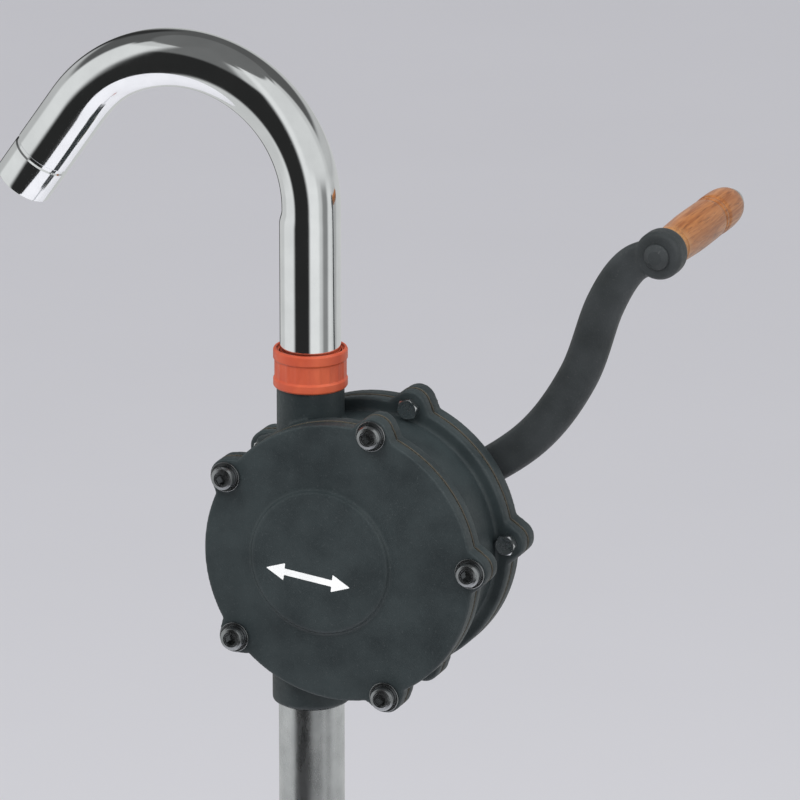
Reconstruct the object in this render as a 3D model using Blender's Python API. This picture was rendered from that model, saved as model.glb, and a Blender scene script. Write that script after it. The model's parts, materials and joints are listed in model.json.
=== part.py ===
"""Rotary hand transfer pump for drums: an eccentric vane pump on a sectional suction tube.

Every dimension is in millimetres and becomes metres when a mesh is made. +Z is up along the
suction tube. The origin is on the tube's axis, in the plane where the bung gasket meets the drum.
The blank front cover faces -Y, the crank is on the +Y side and the spout points to -X.
"""

import math

import bmesh
import bpy
from mathutils import Vector

MM = 0.001
GAP = 0.3
SEAM = 0.002

# Heights along the suction tube's axis
BUNG_THREAD_DEPTH = 18.0
BUNG_THREAD_R = 29.8
BUNG_FLANGE_R = 35.0
BUNG_GASKET = 2.0
BUNG_NECK_R = 21.7
BUNG_TOP = 70.0
CLAMP_NUT_Z = 52.0
CLAMP_NUT_TOP = 100.0
CLAMP_RING_TOP = 83.0
PIPE_PITCH = 400.0
UPPER_JOINT_Z = 347.0
BODY_HEIGHT = 833.0
PORT_DROP = 86.0
NECK_SHOULDER = 81.2
NECK_TOP = 93.0

# Housing
BODY_X = 28.0
BORE_R = 58.0
BARREL_R = 65.5
COVER_R = 72.5
LUG_PITCH_R = 72.0
LUG_R = 8.8
LUG_COUNT = 5
FIRST_LUG_DEG = 3.0
BODY_HALF = 24.6
FLANGE_THICK = 6.6
GASKET_THICK = 0.8
COVER_INNER = 26.0
COVER_OUTER = 34.0
DISC_RISE = 2.5
DISC_R = 37.0
NECK_R = 17.2
NECK_THREAD_R = 16.4
SOCKET_R = 20.0
PORT_BORE_R = 12.9
FLARE_R = 12.0
FLARE_SQUASH = 0.6
SCREW_R = 3.0
WASHER_THICK = 1.4
SCREW_HEAD_R = 6.2
SCREW_HEAD_HEIGHT = 4.4
HEX_KEY_R = 2.9
WASHER_R = 7.8
SMALL_HEX_R = 5.6
SMALL_HEX_THICK = 5.0
BOLT_END = 41.5
PAST = 60.0

# Rotor group, on an axis that is offset from the bore towards the ports
ECCENTRICITY = 9.0
ROTOR_R = BORE_R - ECCENTRICITY - GAP
ROTOR_HALF = 25.5
JOURNAL_START = -31.5
BUSH_FACE = 26.2
REAR_BUSH_END = 35.9
SHAFT_R = 8.0
VANE_COUNT = 3
VANE_THICK = 6.0
VANE_TRAVEL = 3.0
SLOT_FLOOR_R = 26.0
SPRING_R = 2.0
SPRING_START = 16.3
SPRING_END = 36.4
BUSH_R = 11.0
REAR_BUSH_R = 12.0
PACKING_R = 14.0
PACKING_END = 42.0
KEY_HALF_WIDTH = 2.0
KEY_HALF_LENGTH = 14.7
KEY_LOW = 5.7
KEY_HIGH = 10.3
BOSS_R = 19.0
BOSS_END = 46.0
GLAND_END = 53.0
GLAND_HEX_R = 17.5

# Crank, whose arm is an S curve in the plane of rotation
CRANK_R = 210.0
CRANK_DEG = 46.0
HUB_START = 54.5
HUB_END = 76.5
HUB_R = 15.0
SQUARE_HALF = 5.6
THREAD_END_R = 5.0
SHAFT_END = 90.0
CRANK_HEX_R = 9.8
ARM_MIDDLE = 61.5
ARM_THICK = 10.0
ARM_WIDTH = 17.5
ARM_WIDENING = 3.0
END_BOSS_R = 12.5
END_BOSS_START = 55.5
END_BOSS_TOP = 69.5
GRIP_START = 71.1
GRIP_END = 165.0
SPINDLE_R = 4.5

# Tubes
PIPE_R = 16.85
PIPE_BORE_R = 15.2
PIPE_THREAD_R = 16.4
PIPE_SOCKET_R = 18.4
PIPE_SOCKET = 25.0
STEM_R = 15.5
STEM_BORE_R = 13.6
BEND_R = 70.0
BEND_CENTRE_Z = BODY_HEIGHT + 174.5
BEND_DEG = 144.5
TAIL = 53.0
COLLAR_THICK = 2.5
SEAL_THICK = 2.0
STRAINER_R = 22.5
STRAINER_DROP = 16.0

SHAFT_X = BODY_X - ECCENTRICITY

LOOKS = {
    "cast_black": ((0.028, 0.032, 0.034), 0.55, 0.3),
    "arm_black": ((0.030, 0.033, 0.034), 0.5, 0.3),
    "chrome": ((0.78, 0.79, 0.80), 0.08, 1.0),
    "zinc": ((0.62, 0.63, 0.64), 0.3, 1.0),
    "yellow_zinc": ((0.66, 0.55, 0.25), 0.3, 1.0),
    "red_plastic": ((0.72, 0.10, 0.02), 0.4, 0.0),
    "wood": ((0.55, 0.24, 0.07), 0.45, 0.0),
    "rubber": ((0.02, 0.02, 0.02), 0.7, 0.0),
    "paper": ((0.30, 0.26, 0.18), 0.8, 0.0),
    "bronze": ((0.45, 0.30, 0.14), 0.4, 1.0),
    "iron": ((0.22, 0.22, 0.23), 0.5, 1.0),
    "vane": ((0.75, 0.72, 0.62), 0.5, 0.0),
    "mesh": ((0.45, 0.46, 0.47), 0.4, 1.0),
}


def clear_scene():
    for obj in list(bpy.data.objects):
        bpy.data.objects.remove(obj)


def material(name):
    """The named Principled material, made the first time it is asked for."""
    found = bpy.data.materials.get(name)
    if found:
        return found
    colour, roughness, metallic = LOOKS[name]
    made = bpy.data.materials.new(name)
    made.use_nodes = True
    shader = made.node_tree.nodes["Principled BSDF"]
    shader.inputs["Base Color"].default_value = (*colour, 1.0)
    shader.inputs["Roughness"].default_value = roughness
    shader.inputs["Metallic"].default_value = metallic
    return made


def object_from(bm, name, look):
    """Turn a bmesh in millimetres into an object in metres, smooth where its faces meet gently."""
    bmesh.ops.remove_doubles(bm, verts=bm.verts, dist=SEAM)
    bmesh.ops.recalc_face_normals(bm, faces=bm.faces)
    bmesh.ops.scale(bm, vec=(MM, MM, MM), verts=bm.verts)
    mesh = bpy.data.meshes.new(name)
    bm.to_mesh(mesh)
    bm.free()
    mesh.shade_smooth()
    mesh.set_sharp_from_angle(angle=math.radians(35))
    mesh.materials.append(material(look))
    obj = bpy.data.objects.new(name, mesh)
    bpy.context.collection.objects.link(obj)
    return obj


def turned(name, profile, look, sides=24, ring=False):
    """Revolve (radius, height) points about local Z; ring closes a profile that is off the axis."""
    bm = bmesh.new()
    points = [bm.verts.new((radius, 0, height)) for radius, height in profile]
    pairs = list(zip(points, points[1:]))
    if ring:
        pairs.append((points[-1], points[0]))
    edges = [bm.edges.new(pair) for pair in pairs]
    bmesh.ops.spin(
        bm, geom=points + edges, cent=(0, 0, 0), axis=(0, 0, 1), angle=2 * math.pi, steps=sides
    )
    return object_from(bm, name, look)


def rod(name, radius, low, high, look="zinc", sides=20):
    return turned(name, [(0, high), (radius, high), (radius, low), (0, low)], look, sides)


def washer(name, bore, radius, low, high, look, sides=20):
    profile = [(bore, high), (radius, high), (radius, low), (bore, low)]
    return turned(name, profile, look, sides, ring=True)


def prism(name, outline, low, high, look):
    """Extrude an (x, y) outline from one height to another along local Z."""
    bm = bmesh.new()
    face = bm.faces.new([bm.verts.new((x, y, low)) for x, y in outline])
    grown = bmesh.ops.extrude_face_region(bm, geom=[face])
    moved = [part for part in grown["geom"] if isinstance(part, bmesh.types.BMVert)]
    bmesh.ops.translate(bm, vec=(0, 0, high - low), verts=moved)
    return object_from(bm, name, look)


def loft(name, rings, look, hollow=False):
    """Skin a list of point rings; hollow joins the last ring to the first instead of capping."""
    bm = bmesh.new()
    rows = [[bm.verts.new(point) for point in ring] for ring in rings]
    spans = list(zip(rows, rows[1:]))
    if hollow:
        spans.append((rows[-1], rows[0]))
    else:
        bm.faces.new(rows[0])
        bm.faces.new(rows[-1])
    for lower, upper in spans:
        for i in range(len(lower)):
            j = (i + 1) % len(lower)
            bm.faces.new((lower[i], lower[j], upper[j], upper[i]))
    return object_from(bm, name, look)


def box(name, x, y, z, look):
    """A block from three (low, high) pairs."""
    outline = [(x[0], y[0]), (x[1], y[0]), (x[1], y[1]), (x[0], y[1])]
    return prism(name, outline, z[0], z[1], look)


def polygon(sides, radius, turn_deg=0.0):
    angles = [math.radians(turn_deg) + 2 * math.pi * i / sides for i in range(sides)]
    return [(radius * math.cos(a), radius * math.sin(a)) for a in angles]


def combine(target, tool, operation):
    """Boolean one object with a hidden helper."""
    modifier = target.modifiers.new(tool.name, "BOOLEAN")
    modifier.operation = operation
    modifier.solver = "EXACT"
    modifier.object = tool
    tool.hide_render = True
    tool.display_type = "WIRE"


def cut(target, *tools):
    for tool in tools:
        combine(target, tool, "DIFFERENCE")


def weld(target, *tools):
    for tool in tools:
        combine(target, tool, "UNION")


def world_place(obj):
    """Where an object is in the pump's frame; no parent here is rotated."""
    return obj.location + (world_place(obj.parent) if obj.parent else Vector((0, 0, 0)))


def place(obj, x=0.0, y=0.0, z=0.0, along_y=False, parent=None):
    """Move an object to a point in the pump's frame; along_y lays its local Z along +Y."""
    obj.location = Vector((x, y, z)) * MM
    if along_y:
        obj.rotation_euler.x = -math.pi / 2
    if parent:
        obj.location -= world_place(parent)
        obj.parent = parent
    return obj


def axis_empty(name, x, y, z, parent=None):
    """An empty on a joint's axis, which carries everything that moves with that joint."""
    empty = bpy.data.objects.new(name, None)
    empty.empty_display_size = 0.03
    bpy.context.collection.objects.link(empty)
    return place(empty, x, y, z, parent=parent)


def lug_angles():
    return [FIRST_LUG_DEG + 360.0 / LUG_COUNT * i for i in range(LUG_COUNT)]


def lug_centres():
    """(x, z) of each lug from the body's centre."""
    turns = [math.radians(a) for a in lug_angles()]
    return [(LUG_PITCH_R * math.cos(t), LUG_PITCH_R * math.sin(t)) for t in turns]


def lobed_outline(disc_r=COVER_R, lug_r=LUG_R):
    """A disc with round lugs on the pitch circle, drawn for a prism that lies along +Y."""
    half_span = math.degrees(math.asin(lug_r / LUG_PITCH_R))
    between = 360.0 / LUG_COUNT - 2 * half_span
    outline = []
    for centre in lug_angles():
        lug_steps = [half_span * math.sin(math.radians(30 * i)) for i in range(-3, 4)]
        plain_steps = [half_span + between * i / 7 for i in range(1, 7)]
        for step in lug_steps + plain_steps:
            aside = math.radians(step)
            reach = disc_r
            inside = lug_r**2 - (LUG_PITCH_R * math.sin(aside)) ** 2
            if abs(step) < half_span and inside > 0:
                reach = max(disc_r, LUG_PITCH_R * math.cos(aside) + math.sqrt(inside))
            turn = math.radians(centre + step)
            outline.append((reach * math.cos(turn), -reach * math.sin(turn)))
    return outline


def screw_holes(name, radius):
    """Cutters for the five screw holes, through the whole body depth."""
    bm = bmesh.new()
    for x, z in lug_centres():
        made = bmesh.ops.create_cone(
            bm,
            cap_ends=True,
            segments=10,
            radius1=radius,
            radius2=radius,
            depth=2 * PAST,
        )
        bmesh.ops.translate(bm, vec=(x, -z, 0), verts=made["verts"])
    return place(object_from(bm, name, "zinc"), BODY_X, 0, BODY_HEIGHT, along_y=True)


def flare(name, side_r, height):
    """The cast blend from a port neck into the barrel, narrower across the body than along it."""
    turns = [math.radians(90.0 * i / 4) for i in range(5)]
    arc = [
        (side_r + FLARE_R * (1 - math.cos(t)), height + FLARE_R * (1 - math.sin(t))) for t in turns
    ]
    profile = [(0, height + FLARE_R)] + arc + [(side_r + FLARE_R, 20.0), (0, 20.0)]
    blend = turned(name, profile, "cast_black")
    for vertex in blend.data.vertices:
        vertex.co.y *= FLARE_SQUASH
    return blend


def make_pump_body(parent):
    """The cast shell: barrel, two flanges with lugs, outlet neck and suction socket."""
    at_centre = {"x": BODY_X, "z": BODY_HEIGHT, "along_y": True}
    body = prism("pump_body", lobed_outline(), -BODY_HALF, FLANGE_THICK - BODY_HALF, "cast_black")
    place(body, parent=parent, **at_centre)
    rear = prism("weld_rear", lobed_outline(), BODY_HALF - FLANGE_THICK, BODY_HALF, "cast_black")
    barrel_end = BODY_HALF - FLANGE_THICK / 2
    barrel = rod("weld_barrel", BARREL_R, -barrel_end, barrel_end, "cast_black", 48)
    for piece in (rear, barrel):
        place(piece, **at_centre)
    top_flare = place(flare("weld_top_flare", NECK_R - 0.4, 51.0), z=BODY_HEIGHT)
    low_flare = place(flare("weld_low_flare", SOCKET_R - 0.4, 52.0), z=BODY_HEIGHT)
    low_flare.rotation_euler.x = math.pi
    neck_profile = [
        (0, NECK_TOP),
        (NECK_THREAD_R - 1, NECK_TOP),
        (NECK_THREAD_R, NECK_TOP - 1),
        (NECK_THREAD_R, NECK_SHOULDER),
        (NECK_R, NECK_SHOULDER),
        (NECK_R, 40.0),
        (0, 40.0),
    ]
    neck = place(turned("weld_neck", neck_profile, "cast_black"), z=BODY_HEIGHT)
    socket_profile = [
        (0, -40.0),
        (SOCKET_R, -40.0),
        (SOCKET_R, -PORT_DROP + 1.5),
        (SOCKET_R - 1.5, -PORT_DROP),
        (0, -PORT_DROP),
    ]
    socket = place(turned("weld_socket", socket_profile, "cast_black"), z=BODY_HEIGHT)
    weld(body, rear, barrel, top_flare, low_flare, neck, socket)
    bore = place(rod("cut_bore", BORE_R, -PAST, PAST, sides=64), **at_centre)
    outlet = place(rod("cut_outlet", PORT_BORE_R, 20, 120), z=BODY_HEIGHT)
    inlet_profile = [
        (0, -20.0),
        (PORT_BORE_R, -20.0),
        (PORT_BORE_R, -PORT_DROP + 22),
        (PIPE_THREAD_R + GAP, -PORT_DROP + 22),
        (PIPE_THREAD_R + GAP, -PORT_DROP - 20),
        (0, -PORT_DROP - 20),
    ]
    inlet = place(turned("cut_inlet", inlet_profile, "zinc", 28), z=BODY_HEIGHT)
    cut(body, bore, outlet, inlet, screw_holes("cut_body_holes", SCREW_R + GAP))
    return body


def make_front_cover(parent):
    """The blank cover, with a low round pad outside and the front bush's pocket inside."""
    cover = prism("front_cover", lobed_outline(), -COVER_OUTER, -COVER_INNER, "cast_black")
    place(cover, BODY_X, 0, BODY_HEIGHT, along_y=True, parent=parent)
    pad_profile = [
        (0, -COVER_OUTER + 2),
        (DISC_R, -COVER_OUTER + 2),
        (DISC_R, -COVER_OUTER - DISC_RISE + 1),
        (DISC_R - 1.5, -COVER_OUTER - DISC_RISE),
        (0, -COVER_OUTER - DISC_RISE),
    ]
    pad = turned("weld_pad", pad_profile, "cast_black", 40)
    place(pad, SHAFT_X, 0, BODY_HEIGHT, along_y=True)
    weld(cover, pad)
    pocket = rod("cut_pocket", BUSH_R + GAP, -COVER_OUTER + 2.2, 0)
    place(pocket, SHAFT_X, 0, BODY_HEIGHT, along_y=True)
    cut(cover, pocket, screw_holes("cut_front_holes", SCREW_R + GAP))
    return cover


def make_rear_cover(parent):
    """The crank-side cover, with the gland boss and a straight stiffening rib."""
    cover = prism("rear_cover", lobed_outline(), COVER_INNER, COVER_OUTER, "cast_black")
    place(cover, BODY_X, 0, BODY_HEIGHT, along_y=True, parent=parent)
    boss_profile = [
        (0, BOSS_END),
        (BOSS_R - 1, BOSS_END),
        (BOSS_R, BOSS_END - 1),
        (BOSS_R + 1.5, COVER_OUTER - 1),
        (0, COVER_OUTER - 1),
    ]
    boss = turned("weld_boss", boss_profile, "cast_black", 28)
    place(boss, SHAFT_X, 0, BODY_HEIGHT, along_y=True)
    rib = box("weld_rib", (-2.2, 2.2), (-62, 62), (COVER_OUTER - 1, COVER_OUTER + 2.5), "cast_black")
    place(rib, BODY_X, 0, BODY_HEIGHT, along_y=True)
    weld(cover, rib, boss)
    bore_profile = [
        (0, BOSS_END + 5),
        (PACKING_R + GAP, BOSS_END + 5),
        (PACKING_R + GAP, BOSS_END - 9.8),
        (REAR_BUSH_R + GAP, BOSS_END - 9.8),
        (REAR_BUSH_R + GAP, COVER_INNER - 5),
        (0, COVER_INNER - 5),
    ]
    bore = turned("cut_boss_bore", bore_profile, "zinc", 20)
    place(bore, SHAFT_X, 0, BODY_HEIGHT, along_y=True)
    cut(cover, bore, screw_holes("cut_rear_holes", SCREW_R + GAP))
    return cover


def make_gasket(name, low, parent):
    """A flat paper gasket with the same lobed outline as the covers."""
    gasket = prism(name, lobed_outline(), low, low + GASKET_THICK, "paper")
    place(gasket, BODY_X, 0, BODY_HEIGHT, along_y=True, parent=parent)
    opening = rod(f"cut_{name}", BORE_R + 0.5, -PAST, PAST, sides=48)
    place(opening, BODY_X, 0, BODY_HEIGHT, along_y=True)
    cut(gasket, opening, screw_holes(f"cut_{name}_holes", SCREW_R + GAP))
    return gasket


def make_front_screws(parent):
    """Socket-head screws with washers, which hold the front cover to the body's front lugs."""
    head = -COVER_OUTER - 2 * GAP - WASHER_THICK
    top = head - SCREW_HEAD_HEIGHT
    tip = FLANGE_THICK + 1.4 - BODY_HALF
    profile = [
        (0, tip),
        (SCREW_R, tip),
        (SCREW_R, head),
        (SCREW_HEAD_R, head),
        (SCREW_HEAD_R, top + 1.0),
        (SCREW_HEAD_R - 1.2, top),
        (0, top),
    ]
    for i, (x, z) in enumerate(lug_centres(), 1):
        spot = {"x": BODY_X + x, "z": BODY_HEIGHT + z, "along_y": True}
        screw = place(turned(f"front_screw_{i}", profile, "zinc", 12), parent=parent, **spot)
        socket = prism(f"cut_socket_{i}", polygon(6, HEX_KEY_R), top - 1.6, top + 2.8, "zinc")
        cut(screw, place(socket, **spot))
        ring = washer(
            f"front_washer_{i}",
            SCREW_R + GAP,
            WASHER_R,
            -COVER_OUTER - GAP - WASHER_THICK,
            -COVER_OUTER - GAP,
            "zinc",
            16,
        )
        place(ring, parent=parent, **spot)


def make_rear_bolts(parent):
    """Hex bolts with yellow nuts, which hold the rear cover to the body's rear lugs."""
    seat = BODY_HALF - FLANGE_THICK - GAP
    for i, (x, z) in enumerate(lug_centres(), 1):
        spot = {"x": BODY_X + x, "z": BODY_HEIGHT + z, "along_y": True}
        turn = -lug_angles()[i - 1]
        bolt = prism(f"rear_bolt_{i}", polygon(6, SMALL_HEX_R, turn), seat - 4, seat, "zinc")
        place(bolt, parent=parent, **spot)
        shank = place(rod(f"weld_shank_{i}", SCREW_R, seat - 1, BOLT_END, sides=12), **spot)
        weld(bolt, shank)
        low = COVER_OUTER + GAP
        outline = polygon(6, SMALL_HEX_R, turn)
        nut = prism(f"rear_nut_{i}", outline, low, low + SMALL_HEX_THICK, "yellow_zinc")
        place(nut, parent=parent, **spot)
        cut(nut, place(rod(f"cut_rear_nut_{i}", SCREW_R + GAP, 20, 60, sides=12), **spot))


def radial_box(name, x, y, z, turn, look):
    """A block whose local X is the rotor's radius, turned about the shaft."""
    block = box(name, x, y, z, look)
    block.rotation_euler = (-math.pi / 2, 0, 0)
    block.rotation_euler.rotate_axis("Z", turn)
    return block


def vane_turns():
    return [math.radians(30 + 360.0 / VANE_COUNT * i) for i in range(VANE_COUNT)]


def pocket_cutter(name, start, end, turn):
    """A radial drilling for a vane spring."""
    drilling = rod(name, SPRING_R + 0.35, start, end, sides=10)
    drilling.rotation_euler = (-math.pi / 2, 0, 0)
    drilling.rotation_euler.rotate_axis("Z", turn)
    drilling.rotation_euler.rotate_axis("Y", math.pi / 2)
    return drilling


def keyway_cutter(name, depth):
    """The key's slot with a gap all round; depth is its (low, high) below the shaft's axis."""
    half_width = KEY_HALF_WIDTH + GAP
    half_length = KEY_HALF_LENGTH + GAP
    return box(name, (-half_width, half_width), depth, (-half_length, half_length), "zinc")


def make_rotor(parent):
    """The slotted rotor, with a keyway and a spring pocket under each vane."""
    centre = {"x": SHAFT_X, "z": BODY_HEIGHT}
    rotor = rod("rotor", ROTOR_R, -ROTOR_HALF, ROTOR_HALF, "iron", 54)
    place(rotor, along_y=True, parent=parent, **centre)
    bore = place(rod("cut_rotor_bore", SHAFT_R + GAP, -40, 40), along_y=True, **centre)
    keyway = keyway_cutter("cut_rotor_keyway", (-KEY_HIGH - GAP, 1.7))
    cut(rotor, bore, place(keyway, along_y=True, **centre))
    for i, turn in enumerate(vane_turns(), 1):
        half = VANE_THICK / 2 + GAP
        slot = radial_box(f"cut_slot_{i}", (SLOT_FLOOR_R, 70), (-half, half), (-40, 40), turn, "zinc")
        pocket = pocket_cutter(f"cut_pocket_{i}", 16.0, 30.0, turn)
        cut(rotor, place(slot, **centre), place(pocket, **centre))
    return rotor


def make_vane(i, turn, parent):
    """A sliding vane, drilled from its inner edge for its spring."""
    centre = {"x": SHAFT_X, "z": BODY_HEIGHT}
    inner = SLOT_FLOOR_R + VANE_TRAVEL + 2
    half = VANE_THICK / 2
    reach = (inner, ROTOR_R - GAP)
    length = (GAP - ROTOR_HALF, ROTOR_HALF - GAP)
    vane = radial_box(f"vane_{i}", reach, (-half, half), length, turn, "vane")
    place(vane, parent=parent, **centre)
    cut(vane, place(pocket_cutter(f"cut_vane_{i}", inner - 5, inner + 9, turn), **centre))


def make_spring(i, turn, parent):
    """A compression spring between the rotor and a vane."""
    turns, steps, wire, sides = 5, 8, 0.3, 4
    coil_r = SPRING_R - wire
    span = SPRING_END - SPRING_START - 2 * wire
    rings = []
    for k in range(turns * steps + 1):
        along = SPRING_START + wire + span * k / (turns * steps)
        angle = 2 * math.pi * k / steps
        out = Vector((math.cos(angle), math.sin(angle), 0))
        ring = []
        for j in range(sides):
            around = 2 * math.pi * j / sides
            height = Vector((0, 0, along + wire * math.sin(around)))
            ring.append(out * (coil_r + wire * math.cos(around)) + height)
        rings.append(ring)
    spring = loft(f"vane_spring_{i}", rings, "zinc")
    spring.rotation_euler = (-math.pi / 2, 0, 0)
    spring.rotation_euler.rotate_axis("Z", turn)
    spring.rotation_euler.rotate_axis("Y", math.pi / 2)
    place(spring, SHAFT_X, 0, BODY_HEIGHT, parent=parent)


def make_shaft(parent):
    """The stepped shaft: front journal, keyway, rear journal, square seat and threaded end."""
    profile = [
        (0, SHAFT_END),
        (THREAD_END_R - 0.6, SHAFT_END),
        (THREAD_END_R, SHAFT_END - 0.6),
        (THREAD_END_R, HUB_START - GAP),
        (SHAFT_R, HUB_START - GAP),
        (SHAFT_R, JOURNAL_START),
        (0, JOURNAL_START),
    ]
    shaft = turned("shaft", profile, "zinc", 20)
    place(shaft, SHAFT_X, 0, BODY_HEIGHT, along_y=True, parent=parent)
    side = (-SQUARE_HALF, SQUARE_HALF)
    seat = box("weld_square", side, side, (HUB_START - 2, HUB_END - GAP), "zinc")
    weld(shaft, place(seat, SHAFT_X, 0, BODY_HEIGHT, along_y=True))
    keyway = keyway_cutter("cut_shaft_keyway", (-KEY_HIGH - 1.7, GAP - KEY_LOW))
    cut(shaft, place(keyway, SHAFT_X, 0, BODY_HEIGHT, along_y=True))
    wide = (-KEY_HALF_WIDTH, KEY_HALF_WIDTH)
    long = (-KEY_HALF_LENGTH, KEY_HALF_LENGTH)
    key = box("rotor_key", wide, (-KEY_HIGH, -KEY_LOW), long, "iron")
    place(key, SHAFT_X, 0, BODY_HEIGHT, along_y=True, parent=parent)


def make_bearings(parent):
    """Two bronze bushes and the packing that seals the shaft."""
    centre = {"x": SHAFT_X, "z": BODY_HEIGHT, "along_y": True, "parent": parent}
    inside = SHAFT_R + GAP
    front = washer("front_bush", inside, BUSH_R, JOURNAL_START, -BUSH_FACE, "bronze")
    rear = washer("rear_bush", inside, REAR_BUSH_R, BUSH_FACE, REAR_BUSH_END, "bronze")
    low = REAR_BUSH_END + 2 * GAP
    packing = washer("shaft_packing", inside, PACKING_R, low, PACKING_END, "rubber")
    for piece in (front, rear, packing):
        place(piece, **centre)


def make_gland_nut(parent):
    """The hex gland nut, threaded into the rear boss."""
    spot = {"x": SHAFT_X, "z": BODY_HEIGHT, "along_y": True}
    nut = prism("gland_nut", polygon(6, GLAND_HEX_R, 30), BOSS_END + GAP, GLAND_END, "yellow_zinc")
    place(nut, parent=parent, **spot)
    weld(nut, place(rod("weld_gland", PACKING_R, PACKING_END + GAP, BOSS_END + 2), **spot))
    cut(nut, place(rod("cut_gland", SHAFT_R + GAP, 30, 70), **spot))


def arm_points():
    """Hand-chosen (share of length, sideways offset in mm) points of the arm's S curve."""
    return [(0.0, 0.0), (0.2, -14.5), (0.42, -23.0), (0.62, -16.5), (0.8, 0.5), (0.92, 6.0), (1.0, 0.0)]


def smooth_curve(points, steps):
    """Catmull-Rom curve through 2-D points, with the same number of steps in each span."""
    first = [2 * points[0][k] - points[1][k] for k in range(2)]
    last = [2 * points[-1][k] - points[-2][k] for k in range(2)]
    path = [first] + list(points) + [last]
    curve = []
    for p0, p1, p2, p3 in zip(path, path[1:], path[2:], path[3:]):
        for i in range(steps):
            t = i / steps
            curve.append(
                [
                    0.5
                    * (
                        2 * p1[k]
                        + (p2[k] - p0[k]) * t
                        + (2 * p0[k] - 5 * p1[k] + 4 * p2[k] - p3[k]) * t**2
                        + (3 * p1[k] - p0[k] - 3 * p2[k] + p3[k]) * t**3
                    )
                    for k in range(2)
                ]
            )
    return curve + [list(points[-1])]


def arm_section(width, thick, sides=10):
    """A flat oval with rounded corners, as (across, depth) points."""
    points = []
    for i in range(sides):
        angle = 2 * math.pi * (i + 0.5) / sides
        c, s = math.cos(angle), math.sin(angle)
        across = math.copysign(abs(c) ** 0.55, c) * width / 2
        depth = math.copysign(abs(s) ** 0.55, s) * thick / 2
        points.append((across, depth))
    return points


def make_crank_arm(parent):
    """The cast S-shaped arm with its hub and handle boss."""
    turn = math.radians(CRANK_DEG)
    along = Vector((math.cos(turn), 0, math.sin(turn)))
    aside = Vector((-math.sin(turn), 0, math.cos(turn)))
    path = [
        along * (share * CRANK_R) + aside * offset for share, offset in smooth_curve(arm_points(), 3)
    ]
    rings = []
    for i, point in enumerate(path):
        ahead = path[min(i + 1, len(path) - 1)] - path[max(i - 1, 0)]
        across = Vector((-ahead.z, 0, ahead.x)).normalized()
        width = ARM_WIDTH + ARM_WIDENING * math.sin(math.pi * i / (len(path) - 1))
        ring = []
        for side, depth in arm_section(width, ARM_THICK):
            ring.append(point + across * side + Vector((0, ARM_MIDDLE + depth, 0)))
        rings.append(ring)
    arm = loft("crank_arm", rings, "arm_black")
    place(arm, SHAFT_X, 0, BODY_HEIGHT, parent=parent)
    hub_profile = [
        (0, HUB_END),
        (HUB_R - 1.2, HUB_END),
        (HUB_R, HUB_END - 1.2),
        (HUB_R, HUB_START + 1),
        (HUB_R - 1, HUB_START),
        (0, HUB_START),
    ]
    hub = place(turned("weld_hub", hub_profile, "arm_black"), SHAFT_X, 0, BODY_HEIGHT, along_y=True)
    grip_x, grip_z = grip_centre()
    boss_profile = [
        (0, END_BOSS_TOP),
        (END_BOSS_R - 1.7, END_BOSS_TOP),
        (END_BOSS_R, END_BOSS_TOP - 1.7),
        (END_BOSS_R, END_BOSS_START + 1.5),
        (END_BOSS_R - 1.5, END_BOSS_START),
        (0, END_BOSS_START),
    ]
    boss = place(turned("weld_end", boss_profile, "arm_black"), grip_x, 0, grip_z, along_y=True)
    weld(arm, hub, boss)
    side = (-SQUARE_HALF - GAP, SQUARE_HALF + GAP)
    square = box("cut_square", side, side, (40, 100), "zinc")
    place(square, SHAFT_X, 0, BODY_HEIGHT, along_y=True)
    hole = place(rod("cut_spindle", SPINDLE_R + GAP, 40, 100), grip_x, 0, grip_z, along_y=True)
    cut(arm, square, hole)


def grip_centre():
    turn = math.radians(CRANK_DEG)
    return SHAFT_X + CRANK_R * math.cos(turn), BODY_HEIGHT + CRANK_R * math.sin(turn)


def make_crank_fasteners(parent):
    """The washer and hex nut on the shaft's end."""
    spot = {"x": SHAFT_X, "z": BODY_HEIGHT, "along_y": True}
    bore = THREAD_END_R + GAP
    ring = washer("crank_washer", bore, 10.5, HUB_END + GAP, HUB_END + 2.0, "zinc", 16)
    place(ring, parent=parent, **spot)
    nut = prism("crank_nut", polygon(6, CRANK_HEX_R), HUB_END + 2.3, HUB_END + 10.5, "yellow_zinc")
    place(nut, parent=parent, **spot)
    cut(nut, place(rod("cut_crank_nut", bore, 60, 110, sides=16), **spot))


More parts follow.
